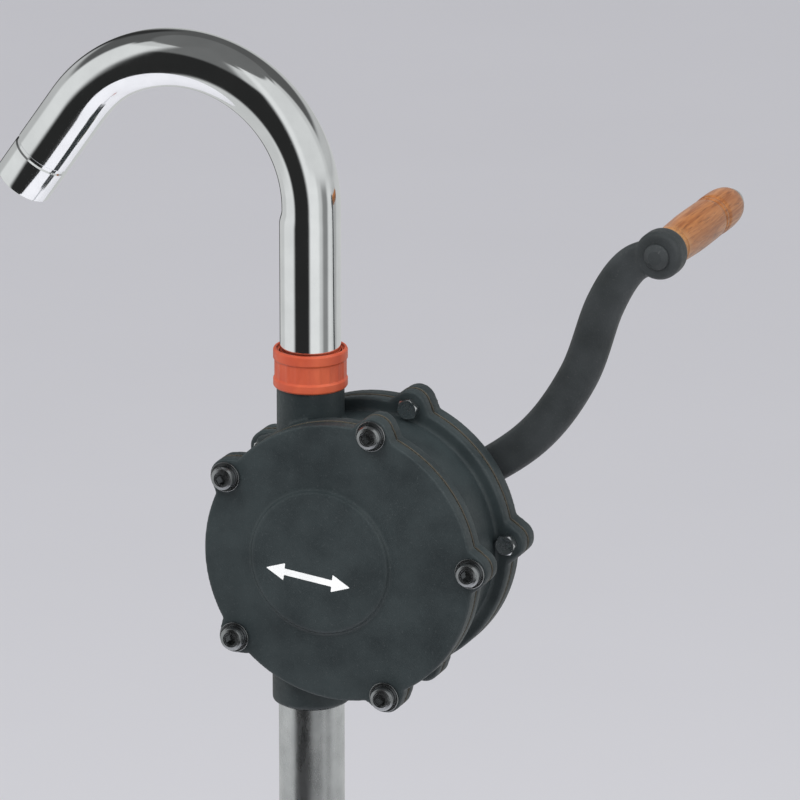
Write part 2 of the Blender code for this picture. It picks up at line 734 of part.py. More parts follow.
def make_handle(arm_parent, grip_parent):
    """The fixed spindle and the turned wooden grip that spins on it."""
    x, z = grip_centre()
    spindle_profile = [
        (0, GRIP_END + 4.0),
        (SPINDLE_R, GRIP_END + 4.0),
        (SPINDLE_R, END_BOSS_START - GAP),
        (7.0, END_BOSS_START - GAP),
        (6.0, END_BOSS_START - 2.9),
        (0, END_BOSS_START - 2.9),
    ]
    spindle = turned("handle_spindle", spindle_profile, "zinc", 20)
    place(spindle, x, 0, z, along_y=True, parent=arm_parent)
    cap_profile = [
        (0, GRIP_END + 8.0),
        (4.5, GRIP_END + 7.2),
        (7.0, GRIP_END + 4.5),
        (7.5, GRIP_END + 2.0),
        (7.5, GRIP_END + GAP),
        (SPINDLE_R + GAP, GRIP_END + GAP),
        (SPINDLE_R + GAP, GRIP_END + 4.5),
        (0, GRIP_END + 4.5),
    ]
    cap = turned("handle_cap", cap_profile, "zinc", 16)
    place(cap, x, 0, z, along_y=True, parent=arm_parent)
    low = END_BOSS_TOP + GAP
    ring = washer("handle_washer", SPINDLE_R + GAP, 8.5, low, low + 1.0, "zinc", 16)
    place(ring, x, 0, z, along_y=True, parent=arm_parent)
    length = GRIP_END - GRIP_START
    swell = [(0, 9.2), (0.02, 10.0), (0.12, 10.2), (0.35, 10.9), (0.64, 10.9), (0.65, 10.1)]
    tip = [(0.67, 10.1), (0.68, 10.9), (0.90, 10.6), (0.97, 9.6), (1.0, 7.6)]
    profile = [(radius, GRIP_START + share * length) for share, radius in swell + tip]
    bore = SPINDLE_R + GAP
    profile = [(bore, GRIP_START)] + profile + [(bore, GRIP_END)]
    grip = turned("wooden_grip", profile[::-1], "wood", 24, ring=True)
    place(grip, x, 0, z, along_y=True, parent=grip_parent)


def tube_ring(centre, across, radius_in, radius_out, aside, sides=20):
    """A ring of points; radius_in is along the bend's plane and radius_out is square to it."""
    ring = []
    for i in range(sides):
        angle = 2 * math.pi * i / sides
        inward = across * (radius_in * math.cos(angle))
        ring.append(centre + inward + aside * (radius_out * math.sin(angle)))
    return ring


def spout_stations():
    """(centre, outward direction, share of the bend's flattening) from the foot to the mouth."""
    outward = Vector((1, 0, 0))
    heights = (spout_foot() + COLLAR_THICK, BEND_CENTRE_Z - 6)
    stations = [(Vector((0, 0, z)), outward, 0.0) for z in heights]
    middle = Vector((-BEND_R, 0, BEND_CENTRE_Z))
    steps = 13
    for i in range(steps + 1):
        angle = math.radians(BEND_DEG * i / steps)
        out = Vector((math.cos(angle), 0, math.sin(angle)))
        ease = min(1.0, i / 2.0, (steps - i) / 2.0)
        stations.append((middle + out * BEND_R, out, ease))
    angle = math.radians(BEND_DEG)
    ahead = Vector((-math.sin(angle), 0, math.cos(angle)))
    end, out, _ = stations[-1]
    return stations + [(end + ahead * run, out, 0.0) for run in (TAIL - 20.0, TAIL)]


def spout_foot():
    """Height of the underside of the spout's collar, above the neck and the seal."""
    return BODY_HEIGHT + NECK_TOP + 2 * GAP + SEAL_THICK


def make_spout(parent):
    """The gooseneck, slightly flattened on the inside of its bend, with a collar at its foot."""
    aside = Vector((0, 1, 0))
    squash = 1.5
    outside = []
    inside = []
    for centre, out, flat in spout_stations():
        middle = centre + out * (squash * flat)
        outside.append(tube_ring(middle, out, STEM_R - squash * flat, STEM_R - 0.3 * flat, aside))
        inside.append(tube_ring(middle, out, STEM_BORE_R - squash * flat, STEM_BORE_R, aside))
    foot = Vector((0, 0, spout_foot()))
    out = Vector((1, 0, 0))
    collar_r = NECK_THREAD_R - 0.1
    collar_top = foot + Vector((0, 0, COLLAR_THICK))
    collar = [
        tube_ring(foot, out, collar_r, collar_r, aside),
        tube_ring(collar_top, out, collar_r, collar_r, aside),
    ]
    bore_foot = [tube_ring(foot, out, STEM_BORE_R, STEM_BORE_R, aside)]
    spout = loft("spout_tube", collar + outside + inside[::-1] + bore_foot, "chrome", hollow=True)
    place(spout, parent=parent)


def make_union(parent_nut, parent_spout):
    """The seal on the neck and the plastic union nut that holds the spout's collar down."""
    seal_low = BODY_HEIGHT + NECK_TOP + GAP
    seal_top = seal_low + SEAL_THICK
    seal = washer("spout_seal", STEM_BORE_R, NECK_THREAD_R - 0.1, seal_low, seal_top, "rubber", 24)
    place(seal, parent=parent_spout)
    low = BODY_HEIGHT + NECK_SHOULDER + GAP
    land = spout_foot() + COLLAR_THICK + GAP
    top = land + 3.2
    profile = [
        (STEM_R + GAP, top),
        (17.6, top),
        (18.9, top - 1.3),
        (18.9, low + 0.8),
        (18.2, low),
        (NECK_THREAD_R + GAP, low),
        (NECK_THREAD_R + GAP, land),
        (STEM_R + GAP, land),
    ]
    place(turned("union_nut", profile, "red_plastic", 24, ring=True), parent=parent_nut)


def make_pipes(parent):
    """Three sections of suction tube, each with a socket at its foot for the next one's top."""
    for i, name in enumerate(("upper_pipe", "middle_pipe", "lower_pipe")):
        foot = UPPER_JOINT_Z - PIPE_PITCH * i
        top = foot + PIPE_PITCH - GAP
        profile = [
            (PIPE_BORE_R, top + 19.0),
            (PIPE_THREAD_R, top + 19.0),
            (PIPE_THREAD_R, top),
            (PIPE_R, top),
        ]
        if i < 2:
            profile += [
                (PIPE_R, foot + PIPE_SOCKET),
                (PIPE_SOCKET_R, foot + PIPE_SOCKET - 1.5),
                (PIPE_SOCKET_R, foot + 0.8),
                (PIPE_SOCKET_R - 0.8, foot),
                (PIPE_THREAD_R + GAP, foot),
                (PIPE_THREAD_R + GAP, foot + 20.0),
                (PIPE_BORE_R, foot + 20.0),
            ]
        else:
            profile += [(PIPE_R, foot), (PIPE_BORE_R, foot)]
        place(turned(name, profile, "chrome", 24, ring=True), parent=parent)
    seal_low = BODY_HEIGHT - PORT_DROP + 19.0
    seal = washer("inlet_seal", 13.2, PIPE_THREAD_R, seal_low, seal_low + 2.5, "rubber", 24)
    place(seal, parent=parent)


def make_strainer(parent):
    """The plastic foot ring, open at its sides, and the mesh disc that is clipped into it."""
    pipe_end = UPPER_JOINT_Z - 2 * PIPE_PITCH
    low = pipe_end - STRAINER_DROP
    profile = [
        (PIPE_R + GAP, pipe_end + 12.0),
        (20.5, pipe_end + 12.0),
        (STRAINER_R, pipe_end + 10.0),
        (STRAINER_R, low + 1.0),
        (STRAINER_R - 1, low),
        (18.6, low),
        (18.6, pipe_end - 2.6),
        (14.6, pipe_end - 2.6),
        (14.6, pipe_end - GAP),
        (PIPE_R + GAP, pipe_end - GAP),
    ]
    ring = place(turned("strainer_ring", profile, "red_plastic", 28, ring=True), parent=parent)
    for i in range(2):
        notch = box(f"cut_notch_{i}", (-40, 40), (-5, 5), (low - 5, low + 6), "zinc")
        notch.rotation_euler.z = math.pi / 2 * i
        cut(ring, place(notch))
    disc_top = pipe_end - 2.6 - GAP
    disc = rod("strainer_mesh", 18.2, disc_top - 1.2, disc_top, "mesh", 28)
    place(disc, parent=parent)
    bm = bmesh.new()
    pitch = 6.5
    for i in range(-2, 3):
        for j in range(-2, 3):
            if math.hypot(i, j) * pitch > 13.5:
                continue
            made = bmesh.ops.create_cube(bm, size=1.0)
            bmesh.ops.scale(bm, vec=(3.6, 3.6, 10.0), verts=made["verts"])
            bmesh.ops.translate(bm, vec=(i * pitch, j * pitch, disc_top), verts=made["verts"])
    cut(disc, object_from(bm, "cut_mesh_holes", "zinc"))


def make_bung(clamp_parent, nut_parent):
    """The drum fitting: gasket, threaded bush, rubber clamp ring and clamp nut."""
    washer("bung_gasket", 30.3, 34.6, 0.0, BUNG_GASKET, "rubber", 28)
    flange = BUNG_GASKET + GAP
    clear_r = PIPE_R + 0.45
    profile = [
        (clear_r, BUNG_TOP),
        (BUNG_NECK_R - 0.7, BUNG_TOP),
        (BUNG_NECK_R, BUNG_TOP - 0.7),
        (BUNG_NECK_R, CLAMP_NUT_Z - 4),
        (28.0, CLAMP_NUT_Z - 4),
        (30.5, flange + 16),
        (BUNG_FLANGE_R - 0.8, flange + 12),
        (BUNG_FLANGE_R, flange + 11),
        (BUNG_FLANGE_R, flange),
        (BUNG_THREAD_R, flange),
        (BUNG_THREAD_R, -BUNG_THREAD_DEPTH + 1.5),
        (BUNG_THREAD_R - 1.5, -BUNG_THREAD_DEPTH),
        (clear_r, -BUNG_THREAD_DEPTH),
    ]
    turned("bung_bush", profile, "red_plastic", 28, ring=True)
    low = BUNG_TOP + 0.4
    ring = washer("clamp_ring", PIPE_R + GAP, 21.6, low, CLAMP_RING_TOP, "rubber", 28)
    place(ring, parent=clamp_parent)
    nut_profile = [
        (clear_r, CLAMP_NUT_TOP),
        (22.0, CLAMP_NUT_TOP),
        (23.0, CLAMP_NUT_TOP - 1.0),
        (26.8, CLAMP_NUT_Z + 16.0),
        (27.2, CLAMP_NUT_Z + 1.0),
        (26.4, CLAMP_NUT_Z),
        (22.0, CLAMP_NUT_Z),
        (22.0, CLAMP_RING_TOP + 0.4),
        (clear_r, CLAMP_RING_TOP + 0.4),
    ]
    nut = turned("clamp_nut", nut_profile, "red_plastic", 28, ring=True)
    place(nut, parent=nut_parent)


def main():
    clear_scene()
    swivel = axis_empty("pump_swivel", 0, 0, 0)
    lift = axis_empty("pump_height", 0, 0, 0, swivel)
    clamp_turn = axis_empty("clamp_nut_turn", 0, 0, 0)
    spout_turn = axis_empty("spout_swivel", 0, 0, BODY_HEIGHT, lift)
    union_turn = axis_empty("union_nut_turn", 0, 0, BODY_HEIGHT, lift)
    gland_turn = axis_empty("gland_nut_turn", SHAFT_X, 0, BODY_HEIGHT, lift)
    crank_turn = axis_empty("crank_turn", SHAFT_X, 0, BODY_HEIGHT, lift)
    grip_x, grip_z = grip_centre()
    grip_turn = axis_empty("grip_turn", grip_x, 0, grip_z, crank_turn)

    make_bung(swivel, clamp_turn)
    make_pump_body(lift)
    make_front_cover(lift)
    make_rear_cover(lift)
    make_gasket("front_gasket", -COVER_INNER + GAP, lift)
    make_gasket("rear_gasket", BODY_HALF + GAP, lift)
    make_front_screws(lift)
    make_rear_bolts(lift)
    make_bearings(lift)
    make_gland_nut(gland_turn)
    make_rotor(crank_turn)
    make_shaft(crank_turn)
    for i, turn in enumerate(vane_turns(), 1):
        slide = axis_empty(f"vane_slide_{i}", SHAFT_X, 0, BODY_HEIGHT, crank_turn)
        make_vane(i, turn, slide)
        make_spring(i, turn, crank_turn)
    make_crank_arm(crank_turn)
    make_crank_fasteners(crank_turn)
    make_handle(crank_turn, grip_turn)
    make_spout(spout_turn)
    make_union(union_turn, spout_turn)
    make_pipes(lift)
    make_strainer(lift)


main()
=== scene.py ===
"""Looks of a rotary hand transfer pump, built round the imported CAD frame.

Lengths are millimetres in the frame's own axes and become metres when a mesh is made. The suction
tube stands on the Z axis, the front cover faces -Y and the crank is on the +Y side.
"""

import json
import math

import bmesh
import bpy
from mathutils import Matrix, Vector


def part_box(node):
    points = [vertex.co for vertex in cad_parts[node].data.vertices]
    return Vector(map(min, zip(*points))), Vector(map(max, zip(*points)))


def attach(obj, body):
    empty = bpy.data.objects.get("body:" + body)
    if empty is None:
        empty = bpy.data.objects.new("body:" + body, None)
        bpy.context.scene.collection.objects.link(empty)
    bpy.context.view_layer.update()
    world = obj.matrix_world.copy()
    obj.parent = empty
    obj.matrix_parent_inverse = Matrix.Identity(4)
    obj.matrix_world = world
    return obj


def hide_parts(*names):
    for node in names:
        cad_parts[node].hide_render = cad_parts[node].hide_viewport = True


MM = 0.001

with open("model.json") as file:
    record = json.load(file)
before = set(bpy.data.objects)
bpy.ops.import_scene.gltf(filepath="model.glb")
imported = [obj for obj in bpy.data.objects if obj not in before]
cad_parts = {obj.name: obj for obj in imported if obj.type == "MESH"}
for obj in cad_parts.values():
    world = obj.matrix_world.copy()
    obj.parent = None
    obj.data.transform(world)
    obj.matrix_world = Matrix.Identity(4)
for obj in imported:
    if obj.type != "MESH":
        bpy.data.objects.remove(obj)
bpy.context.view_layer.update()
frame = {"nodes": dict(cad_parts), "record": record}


def span(node):
    """(lowest, highest) corner of a CAD node, in millimetres."""
    low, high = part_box(node)
    return low / MM, high / MM


def middle(node):
    """The centre of a CAD node's box, in millimetres."""
    low, high = span(node)
    return (low + high) / 2


# Places read from the frame
SHAFT = middle("shaft")
GRIP = middle("wooden_grip")
ECCENTRICITY = 9.0
BODY_X = SHAFT.x + ECCENTRICITY
BODY_Z = SHAFT.z
UNION_LOW, UNION_TOP = (corner.z for corner in span("union_nut"))
SOCKET_FOOT = span("pump_body")[0].z
NECK_TOP = span("pump_body")[1].z
BODY_HALF = span("pump_body")[1].y
COVER_OUTER = 34.0
COVER_INNER = span("rear_cover")[0].y

# Casting sizes
BORE_R = 58.0
BARREL_R = 65.5
COVER_R = 72.5
LUG_PITCH_R = 72.0
LUG_R = 8.8
LUG_COUNT = 5
FIRST_LUG_DEG = 3.0
LUG_WEB = [(-9.0, 13.5), (0.2, 10.6), (3.4, 8.3)]  # (distance past COVER_R, half the web's width)
CAST_EDGE = 0.8
FLANGE_THICK = 6.6
PAD_R = 37.0
NECK_R = 17.2
NECK_THREAD_R = 16.4
SOCKET_R = 20.0
PORT_BORE_R = 12.9
FLARE_R = 12.0
FLARE_SQUASH = 0.6
FLARE_ROOT = 20.0
HOLE_R = 3.3
GAP = 0.3
PAST = 60.0  # a cutter's reach, past every face it cuts

# Fasteners
SCREW_R = 3.0
SCREW_HEAD_R = 6.2
SCREW_HEAD_HEIGHT = 4.4
HEX_KEY_R = 2.9
WASHER_R = 7.8
WASHER_HALF = 0.7
SMALL_HEX_R = 5.6
SMALL_HEAD_HEIGHT = 4.0
HEX_CHAMFER_RISE = 0.14  # of the hexagon's radius
HEX_FACE = 0.87

# Tubes
STEM_R = 15.5
STEM_BORE_R = 13.6
BEND_R = 70.0
BEND_CENTRE_Z = BODY_Z + 174.5
BEND_DEG = 144.5
TAIL = 53.0
PIPE_R = 16.85
PIPE_BORE_R = 15.2
PIPE_THREAD_R = 16.4
PIPE_SOCKET_R = 18.4
PIPE_THREAD_PITCH = 2.309

# Crank
CRANK_R = math.hypot(GRIP.x - SHAFT.x, GRIP.z - SHAFT.z)
CRANK_TURN = math.atan2(GRIP.z - SHAFT.z, GRIP.x - SHAFT.x)
ARM_BENDS = [(0.0, 0.0), (0.2, -14.5), (0.42, -23.0), (0.62, -16.5), (0.8, 0.5), (0.92, 6.0), (1.0, 0.0)]
ARM_MIDDLE = 61.5
ARM_WIDTH = 17.5
ARM_WIDENING = 3.0
ARM_THICK = 10.0
HUB_START = 54.5
HUB_END = 76.5
HUB_R = 15.0
END_BOSS_START = 55.5
END_BOSS_TOP = 69.5
END_BOSS_R = 12.5
SHAFT_R = 8.0
SHAFT_END_R = 5.0
SQUARE_HALF = 5.6
SPINDLE_R = 4.5
SPINDLE_BORE_R = 4.8

# Camera
AZIMUTH_DEG = 21.67
ELEVATION_DEG = 16.84
CAMERA_DISTANCE = 3786.0
LENS = 339.0
FRONT_FACE_Y = -37.0
AIM_RIGHT = 32.8  # of the middle of the front face, as the camera sees it
AIM_UP = 83.3


# ------------------------ materials


class Look:
    """A Principled material whose colour, roughness and bump come from procedural nodes."""

    def __init__(self, name, metallic=0.0, **sockets):
        self.material = bpy.data.materials.new(name)
        self.material.use_nodes = True
        self.nodes = self.material.node_tree.nodes
        self.links = self.material.node_tree.links
        self.shader = self.nodes["Principled BSDF"]
        self.shader.inputs["Metallic"].default_value = metallic
        for socket, value in sockets.items():
            self.shader.inputs[socket.replace("_", " ")].default_value = value
        self.where = self.node("TexCoord", {}).outputs["Object"]
        self.normal = None

    def node(self, kind, inputs, **settings):
        """A new node with these settings, and its inputs linked to outputs or set to values."""
        node = self.nodes.new(f"ShaderNode{kind}")
        for name, value in settings.items():
            setattr(node, name, value)
        for socket, value in inputs.items():
            if isinstance(value, bpy.types.NodeSocket):
                self.links.new(value, node.inputs[socket])
            else:
                node.inputs[socket].default_value = value
        return node

    def stretched(self, x, y, z):
        """The object's coordinates scaled along each axis."""
        return self.node("Mapping", {"Scale": (x, y, z), "Vector": self.where}).outputs["Vector"]

    def noise(self, size, detail=3.0, where=None, distortion=0.0):
        """Noise whose features are about this many millimetres across."""
        inputs = {"Scale": 1 / (size * MM), "Detail": detail, "Distortion": distortion}
        return self.node("TexNoise", {**inputs, "Vector": where or self.where}).outputs["Fac"]

    def remap(self, source, low, high, start=0.0, end=1.0):
        """Take the source's range from low to high to the range from start to end."""
        inputs = {"From Min": low, "From Max": high, "To Min": start, "To Max": end, "Value": source}
        return self.node("MapRange", inputs).outputs["Result"]

    def mixed(self, factor, first, second):
        """A colour between first and second; each is three numbers or another node's output."""
        first, second = ((*c, 1.0) if isinstance(c, tuple) else c for c in (first, second))
        # A Mix node has an A and a B for each data type; 6 and 7 are the colours
        return self.node("Mix", {"Factor": factor, 6: first, 7: second}, data_type="RGBA").outputs[2]

    def times(self, first, second):
        """The product of two outputs."""
        return self.node("Math", {0: first, 1: second}, operation="MULTIPLY").outputs[0]

    def colour(self, source):
        """Link the shader's colour to this output."""
        self.links.new(source, self.shader.inputs["Base Color"])

    def rough(self, source, low, high):
        """Let a noise vary the roughness between low and high."""
        self.links.new(self.remap(source, 0.3, 0.7, low, high), self.shader.inputs["Roughness"])

    def bump(self, source, depth):
        """Raise the surface by up to this many millimetres where the source is 1."""
        inputs = {"Distance": depth * MM, "Height": source}
        if self.normal:
            inputs["Normal"] = self.normal
        self.normal = self.node("Bump", inputs).outputs["Normal"]
        self.links.new(self.normal, self.shader.inputs["Normal"])

    def edges(self, low, high):
        """1 on outside edges and 0 elsewhere, broken up by noise: paint rubbed thin there, plus a painted
        highlight.
        """
        geometry = self.node("NewGeometry", {})
        edge = self.remap(geometry.outputs["Pointiness"], low, high)
        return self.times(edge, self.remap(self.noise(3.5), 0.38, 0.62))


def casting_paint(name, dark, light, worn_and_sheen):
    """Satin black paint over a sand casting, lighter on its outside edges: partly paint rubbed thin, partly
    a painted highlight.
    """
    look = Look(name, Specular_IOR_Level=0.42)
    body = look.mixed(look.remap(look.noise(22.0), 0.35, 0.65), dark, light)
    speckle = look.mixed(look.remap(look.noise(0.9, 2.0), 0.62, 0.78, 0.0, 0.35), body, worn_and_sheen)
    # The outside edges take the lighter tone: partly wear, partly a painted highlight standing in for the
    # satin sheen.
    look.colour(look.mixed(look.edges(0.53, 0.62), speckle, worn_and_sheen))
    look.rough(look.noise(1.6), 0.42, 0.58)
    look.bump(look.noise(7.0), 0.16)
    look.bump(look.noise(1.1, 4.0), 0.07)
    return look.material


def plated(name, dull, bright, low, high, wave=0.0):
    """Plated steel with faint haze in its colour and polish."""
    look = Look(name, metallic=1.0)
    look.colour(look.mixed(look.remap(look.noise(14.0), 0.3, 0.7), dull, bright))
    haze = look.noise(5.0, 5.0, look.stretched(1.0, 1.0, 0.25))
    look.rough(haze, low, high)
    if wave:
        look.bump(look.noise(24.0, 1.0), wave)
    look.bump(look.noise(0.35, 2.0), 0.0012)
    return look.material


def yellow_passivate():
    """Zinc with a chromate film, which drifts between straw, pink and green."""
    look = Look("yellow_passivate", metallic=1.0)
    straw, pink, green = (0.80, 0.62, 0.24), (0.72, 0.44, 0.30), (0.55, 0.62, 0.30)
    warm = look.mixed(look.remap(look.noise(4.0), 0.42, 0.66), straw, pink)
    look.colour(look.mixed(look.remap(look.noise(6.5, 1.0), 0.5, 0.72), warm, green))
    look.rough(look.noise(1.2), 0.22, 0.36)
    look.bump(look.noise(0.5), 0.004)
    return look.material


def moulded(name, dark, light, low, high, grain=0.02):
    """Moulded plastic or rubber with flow marks and a fine sparked grain."""
    look = Look(name, Specular_IOR_Level=0.45)
    flow = look.noise(16.0, 2.0, look.stretched(1.0, 1.0, 0.45), 0.6)
    look.colour(look.mixed(look.remap(flow, 0.32, 0.68), dark, light))
    look.rough(look.noise(2.2), low, high)
    look.bump(look.noise(0.55, 2.0), grain)
    look.bump(look.noise(12.0, 1.0), 3 * grain)
    return look.material


def turned_wood():
    """Varnished hardwood whose grain runs along the grip, paler at its foot and darker towards its tip."""
    look = Look("turned_wood", Coat_Weight=0.35, Coat_Roughness=0.22, Specular_IOR_Level=0.4)
    along = look.stretched(1.0, 0.07, 1.0)
    rings = look.noise(3.4, 4.0, along, 1.4)
    base = look.mixed(look.remap(rings, 0.3, 0.7), (0.40, 0.160, 0.046), (0.22, 0.070, 0.019))
    pores = look.remap(look.noise(0.5, 2.0, look.stretched(1.0, 0.045, 1.0)), 0.56, 0.68, 0.0, 0.6)
    pored = look.mixed(pores, base, (0.09, 0.028, 0.009))
    where = look.node("SeparateXYZ", {"Vector": look.where})
    low, high = span("wooden_grip")
    length = high.y - low.y
    foot = look.remap(where.outputs["Y"], low.y * MM, (low.y + 0.12 * length) * MM, 0.55, 0.0)
    tip = look.remap(where.outputs["Y"], (high.y - 0.12 * length) * MM, high.y * MM, 0.0, 0.65)
    paler = look.mixed(foot, pored, (0.47, 0.28, 0.12))
    look.colour(look.mixed(tip, paler, (0.20, 0.070, 0.018)))
    look.rough(rings, 0.34, 0.5)
    look.bump(rings, 0.05)
    look.bump(pores, -0.05)
    return look.material


def gasket_sheet():
    """Compressed fibre sheet, matt and mottled."""
    look = Look("gasket_sheet", Specular_IOR_Level=0.2)
    fibres = look.noise(0.9, 4.0, look.stretched(1.0, 4.0, 1.0))
    look.colour(look.mixed(look.remap(fibres, 0.3, 0.7), (0.045, 0.041, 0.033), (0.10, 0.09, 0.07)))
    look.rough(fibres, 0.75, 0.92)
    look.bump(fibres, 0.04)
    return look.material


def machined(name, dark, light, low, high):
    """A turned or milled metal face with fine tool marks."""
    look = Look(name, metallic=1.0)
    marks = look.noise(0.45, 2.0, look.stretched(0.3, 1.6, 0.3))
    look.colour(look.mixed(look.remap(look.noise(9.0), 0.3, 0.7), dark, light))
    look.rough(marks, low, high)
    look.bump(marks, 0.01)
    return look.material


LOOKS = {
    "cast_black": casting_paint(
        "cast_paint", dark=(0.018, 0.025, 0.027), light=(0.029, 0.039, 0.041), worn_and_sheen=(0.085, 0.095, 0.097)
    ),
    "arm_black": casting_paint(
        "arm_paint", dark=(0.025, 0.029, 0.030), light=(0.039, 0.044, 0.046), worn_and_sheen=(0.10, 0.10, 0.10)
    ),
    "chrome": plated("bright_chrome", (0.84, 0.85, 0.86), (0.92, 0.93, 0.94), 0.05, 0.10, wave=0.03),
    "zinc": plated("bright_zinc", (0.58, 0.60, 0.62), (0.76, 0.77, 0.78), 0.2, 0.34),
    "yellow_zinc": yellow_passivate(),
    "red_plastic": moulded("red_plastic", (0.43, 0.060, 0.024), (0.56, 0.104, 0.042), 0.36, 0.5),
    "wood": turned_wood(),
    "rubber": moulded("black_rubber", (0.012, 0.012, 0.013), (0.026, 0.026, 0.027), 0.6, 0.8, grain=0.03),
    "paper": gasket_sheet(),
    "bronze": machined("sintered_bronze", (0.40, 0.25, 0.11), (0.55, 0.36, 0.17), 0.35, 0.55),
    "rotor_metal": machined("machined_rotor", (0.50, 0.50, 0.51), (0.62, 0.62, 0.63), 0.28, 0.45),
    "steel": machined("plain_steel", (0.30, 0.30, 0.31), (0.42, 0.42, 0.43), 0.25, 0.4),
    "vane": moulded("vane_plastic", (0.66, 0.62, 0.50), (0.80, 0.77, 0.66), 0.4, 0.55),
    "mesh": plated("mesh_wire", (0.42, 0.43, 0.44), (0.60, 0.61, 0.62), 0.25, 0.4),
}
DULLED_STEEL = plated("dulled_steel", (0.27, 0.28, 0.29), (0.38, 0.39, 0.40), 0.2, 0.34)
ROLLED_TUBE = plated("rolled_tube", (0.54, 0.55, 0.56), (0.70, 0.71, 0.72), 0.22, 0.34, wave=0.05)
PRINT = moulded("white_print", (0.80, 0.81, 0.80), (0.90, 0.90, 0.89), 0.45, 0.6, grain=0.01)
RECORD = frame["record"]
SLOT_OF = {row["node"]: row["material_slot"] for row in RECORD["subparts"]}
BODY_OF = {node: body for body, nodes in RECORD["behaviour"]["bodies"].items() for node in nodes}


# ------------------------ shapes


def rounded(points, radius, steps=4, closed=False):
    """Round the corners of a polyline, each by at most this radius."""
    nearly_straight = math.radians(84)
    most_of_side = 0.45
    result = []
    last = len(points) - 1
    for i, point in enumerate(points):
        here = Vector(point)
        if not closed and i in (0, last):
            result.append(here)
            continue
        back = Vector(points[i - 1]) - here
        ahead = Vector(points[i + 1 if i < last else 0]) - here
        half = back.angle(ahead) / 2
        if half > nearly_straight:
            result.append(here)
            continue
        run = min(radius / math.tan(half), most_of_side * back.length, most_of_side * ahead.length)
        start = here + back.normalized() * run
        end = here + ahead.normalized() * run
        for k in range(steps + 1):
            t = k / steps
            result.append(start * (1 - t) ** 2 + here * (2 * t * (1 - t)) + end * t**2)
    return result


def skin(rows, closed_rows=False, bm=None):
    """A bmesh that joins rows of points; a row of one point is a pole."""
    if bm is None:
        bm = bmesh.new()
    made = [[bm.verts.new(point) for point in row] for row in rows]
    pairs = list(zip(made, made[1:]))
    if closed_rows:
        pairs.append((made[-1], made[0]))
    for first, second in pairs:
        sides = max(len(first), len(second))
        if sides == 1:
            continue
        for i in range(sides):
            j = (i + 1) % sides
            if len(first) == 1:
                bm.faces.new((first[0], second[i], second[j]))
            elif len(second) == 1:
                bm.faces.new((first[i], second[0], first[j]))
            else:
                bm.faces.new((first[i], second[i], second[j], first[j]))
    return bm


def capped(rows, bm=None):
    """Close a tube of point rows with a pole at the middle of each end."""
    ends = [sum((Vector(p) for p in row), Vector()) / len(row) for row in (rows[0], rows[-1])]
    return skin([[ends[0]]] + rows + [[ends[1]]], bm=bm)


def turned(profile, sides=96, ring=False, shape=None, bm=None):
    """Turn (radius, height) points about Z; shape(angle, radius, height) may vary the radius."""
    rows = []
    for radius, height in profile:
        if radius < 1e-6:
            rows.append([(0, 0, height)])
            continue
        row = []
        for i in range(sides):
            angle = 2 * math.pi * i / sides
            reach = shape(angle, radius, height) if shape else radius
            row.append((reach * math.cos(angle), reach * math.sin(angle), height))
        rows.append(row)
    return skin(rows, ring, bm)


def rod(radius, low, high, sides=64, edge=0.0):
    """A solid cylinder along Z."""
    profile = [(0, high), (radius, high), (radius, low), (0, low)]
    return turned(rounded(profile, edge) if edge else profile, sides)


def tube(bore, radius, low, high, sides=96, edge=0.3):
    """A turned ring with softly rounded edges."""
    profile = [(bore, high), (radius, high), (radius, low), (bore, low)]
    return turned(rounded(profile, edge, closed=True), sides, ring=True)


def prism(outline, low, high):
    """Extrude an (x, y) outline along Z."""
    return capped([[(x, y, low) for x, y in outline], [(x, y, high) for x, y in outline]])


def block(x, y, z):
    """A cutting or joining box; each side is a (low, high) pair."""
    outline = [(x[0], y[0]), (x[1], y[0]), (x[1], y[1]), (x[0], y[1])]
    return prism(outline, *z)


def polygon(sides, radius, turn=0.0):
    """A regular polygon's corners."""
    angles = [turn + 2 * math.pi * i / sides for i in range(sides)]
    return [(radius * math.cos(a), radius * math.sin(a)) for a in angles]


def along_y(x, z):
    """The transform that lays local Z along +Y, on the line through x and z."""
    return Matrix.Translation((x, 0, z)) @ Matrix.Rotation(-math.pi / 2, 4, "X")


ON_BODY = along_y(BODY_X, BODY_Z)
ON_SHAFT = along_y(SHAFT.x, SHAFT.z)
ON_GRIP = along_y(GRIP.x, GRIP.z)


def added(name, data):
    """A new object in the scene."""
    obj = bpy.data.objects.new(name, data)
    bpy.context.scene.collection.objects.link(obj)
    return obj


def helper(bm, place=None):
    """A temporary object in metres, for modifiers to read."""
    if place:
        bm.transform(place)
    bmesh.ops.recalc_face_normals(bm, faces=bm.faces)
    bmesh.ops.scale(bm, vec=(MM, MM, MM), verts=bm.verts)
    mesh = bpy.data.meshes.new("helper")
    bm.to_mesh(mesh)
    bm.free()
    return added("helper", mesh)


def boolean(base, operation, tools):
    """Stack one Boolean modifier per tool."""
    for tool in tools:
        modifier = base.modifiers.new(operation, "BOOLEAN")
        modifier.operation = operation
        modifier.solver = "MANIFOLD"
        modifier.object = tool


def solved(base, joined=(), removed=(), kept=(), voxel=0.0, smoothing=0):
    """The mesh of these helpers; a voxel size melts the joined ones together like a casting."""
    boolean(base, "UNION", joined)
    boolean(base, "INTERSECT", kept)
    if voxel:
        remesh = base.modifiers.new("remesh", "REMESH")
        remesh.mode = "VOXEL"
        remesh.voxel_size = voxel * MM
        smooth = base.modifiers.new("smooth", "SMOOTH")
        smooth.factor = 0.5
        smooth.iterations = smoothing
    boolean(base, "DIFFERENCE", removed)
    graph = bpy.context.evaluated_depsgraph_get()
    mesh = bpy.data.meshes.new_from_object(base.evaluated_get(graph))
    for obj in (base, *joined, *removed, *kept):
        bpy.data.objects.remove(obj)
    return mesh


def mesh_of(bm, place=None):
    """A mesh in metres from a bmesh in millimetres."""
    obj = helper(bm, place)
    mesh = obj.data
    bpy.data.objects.remove(obj)
    return mesh


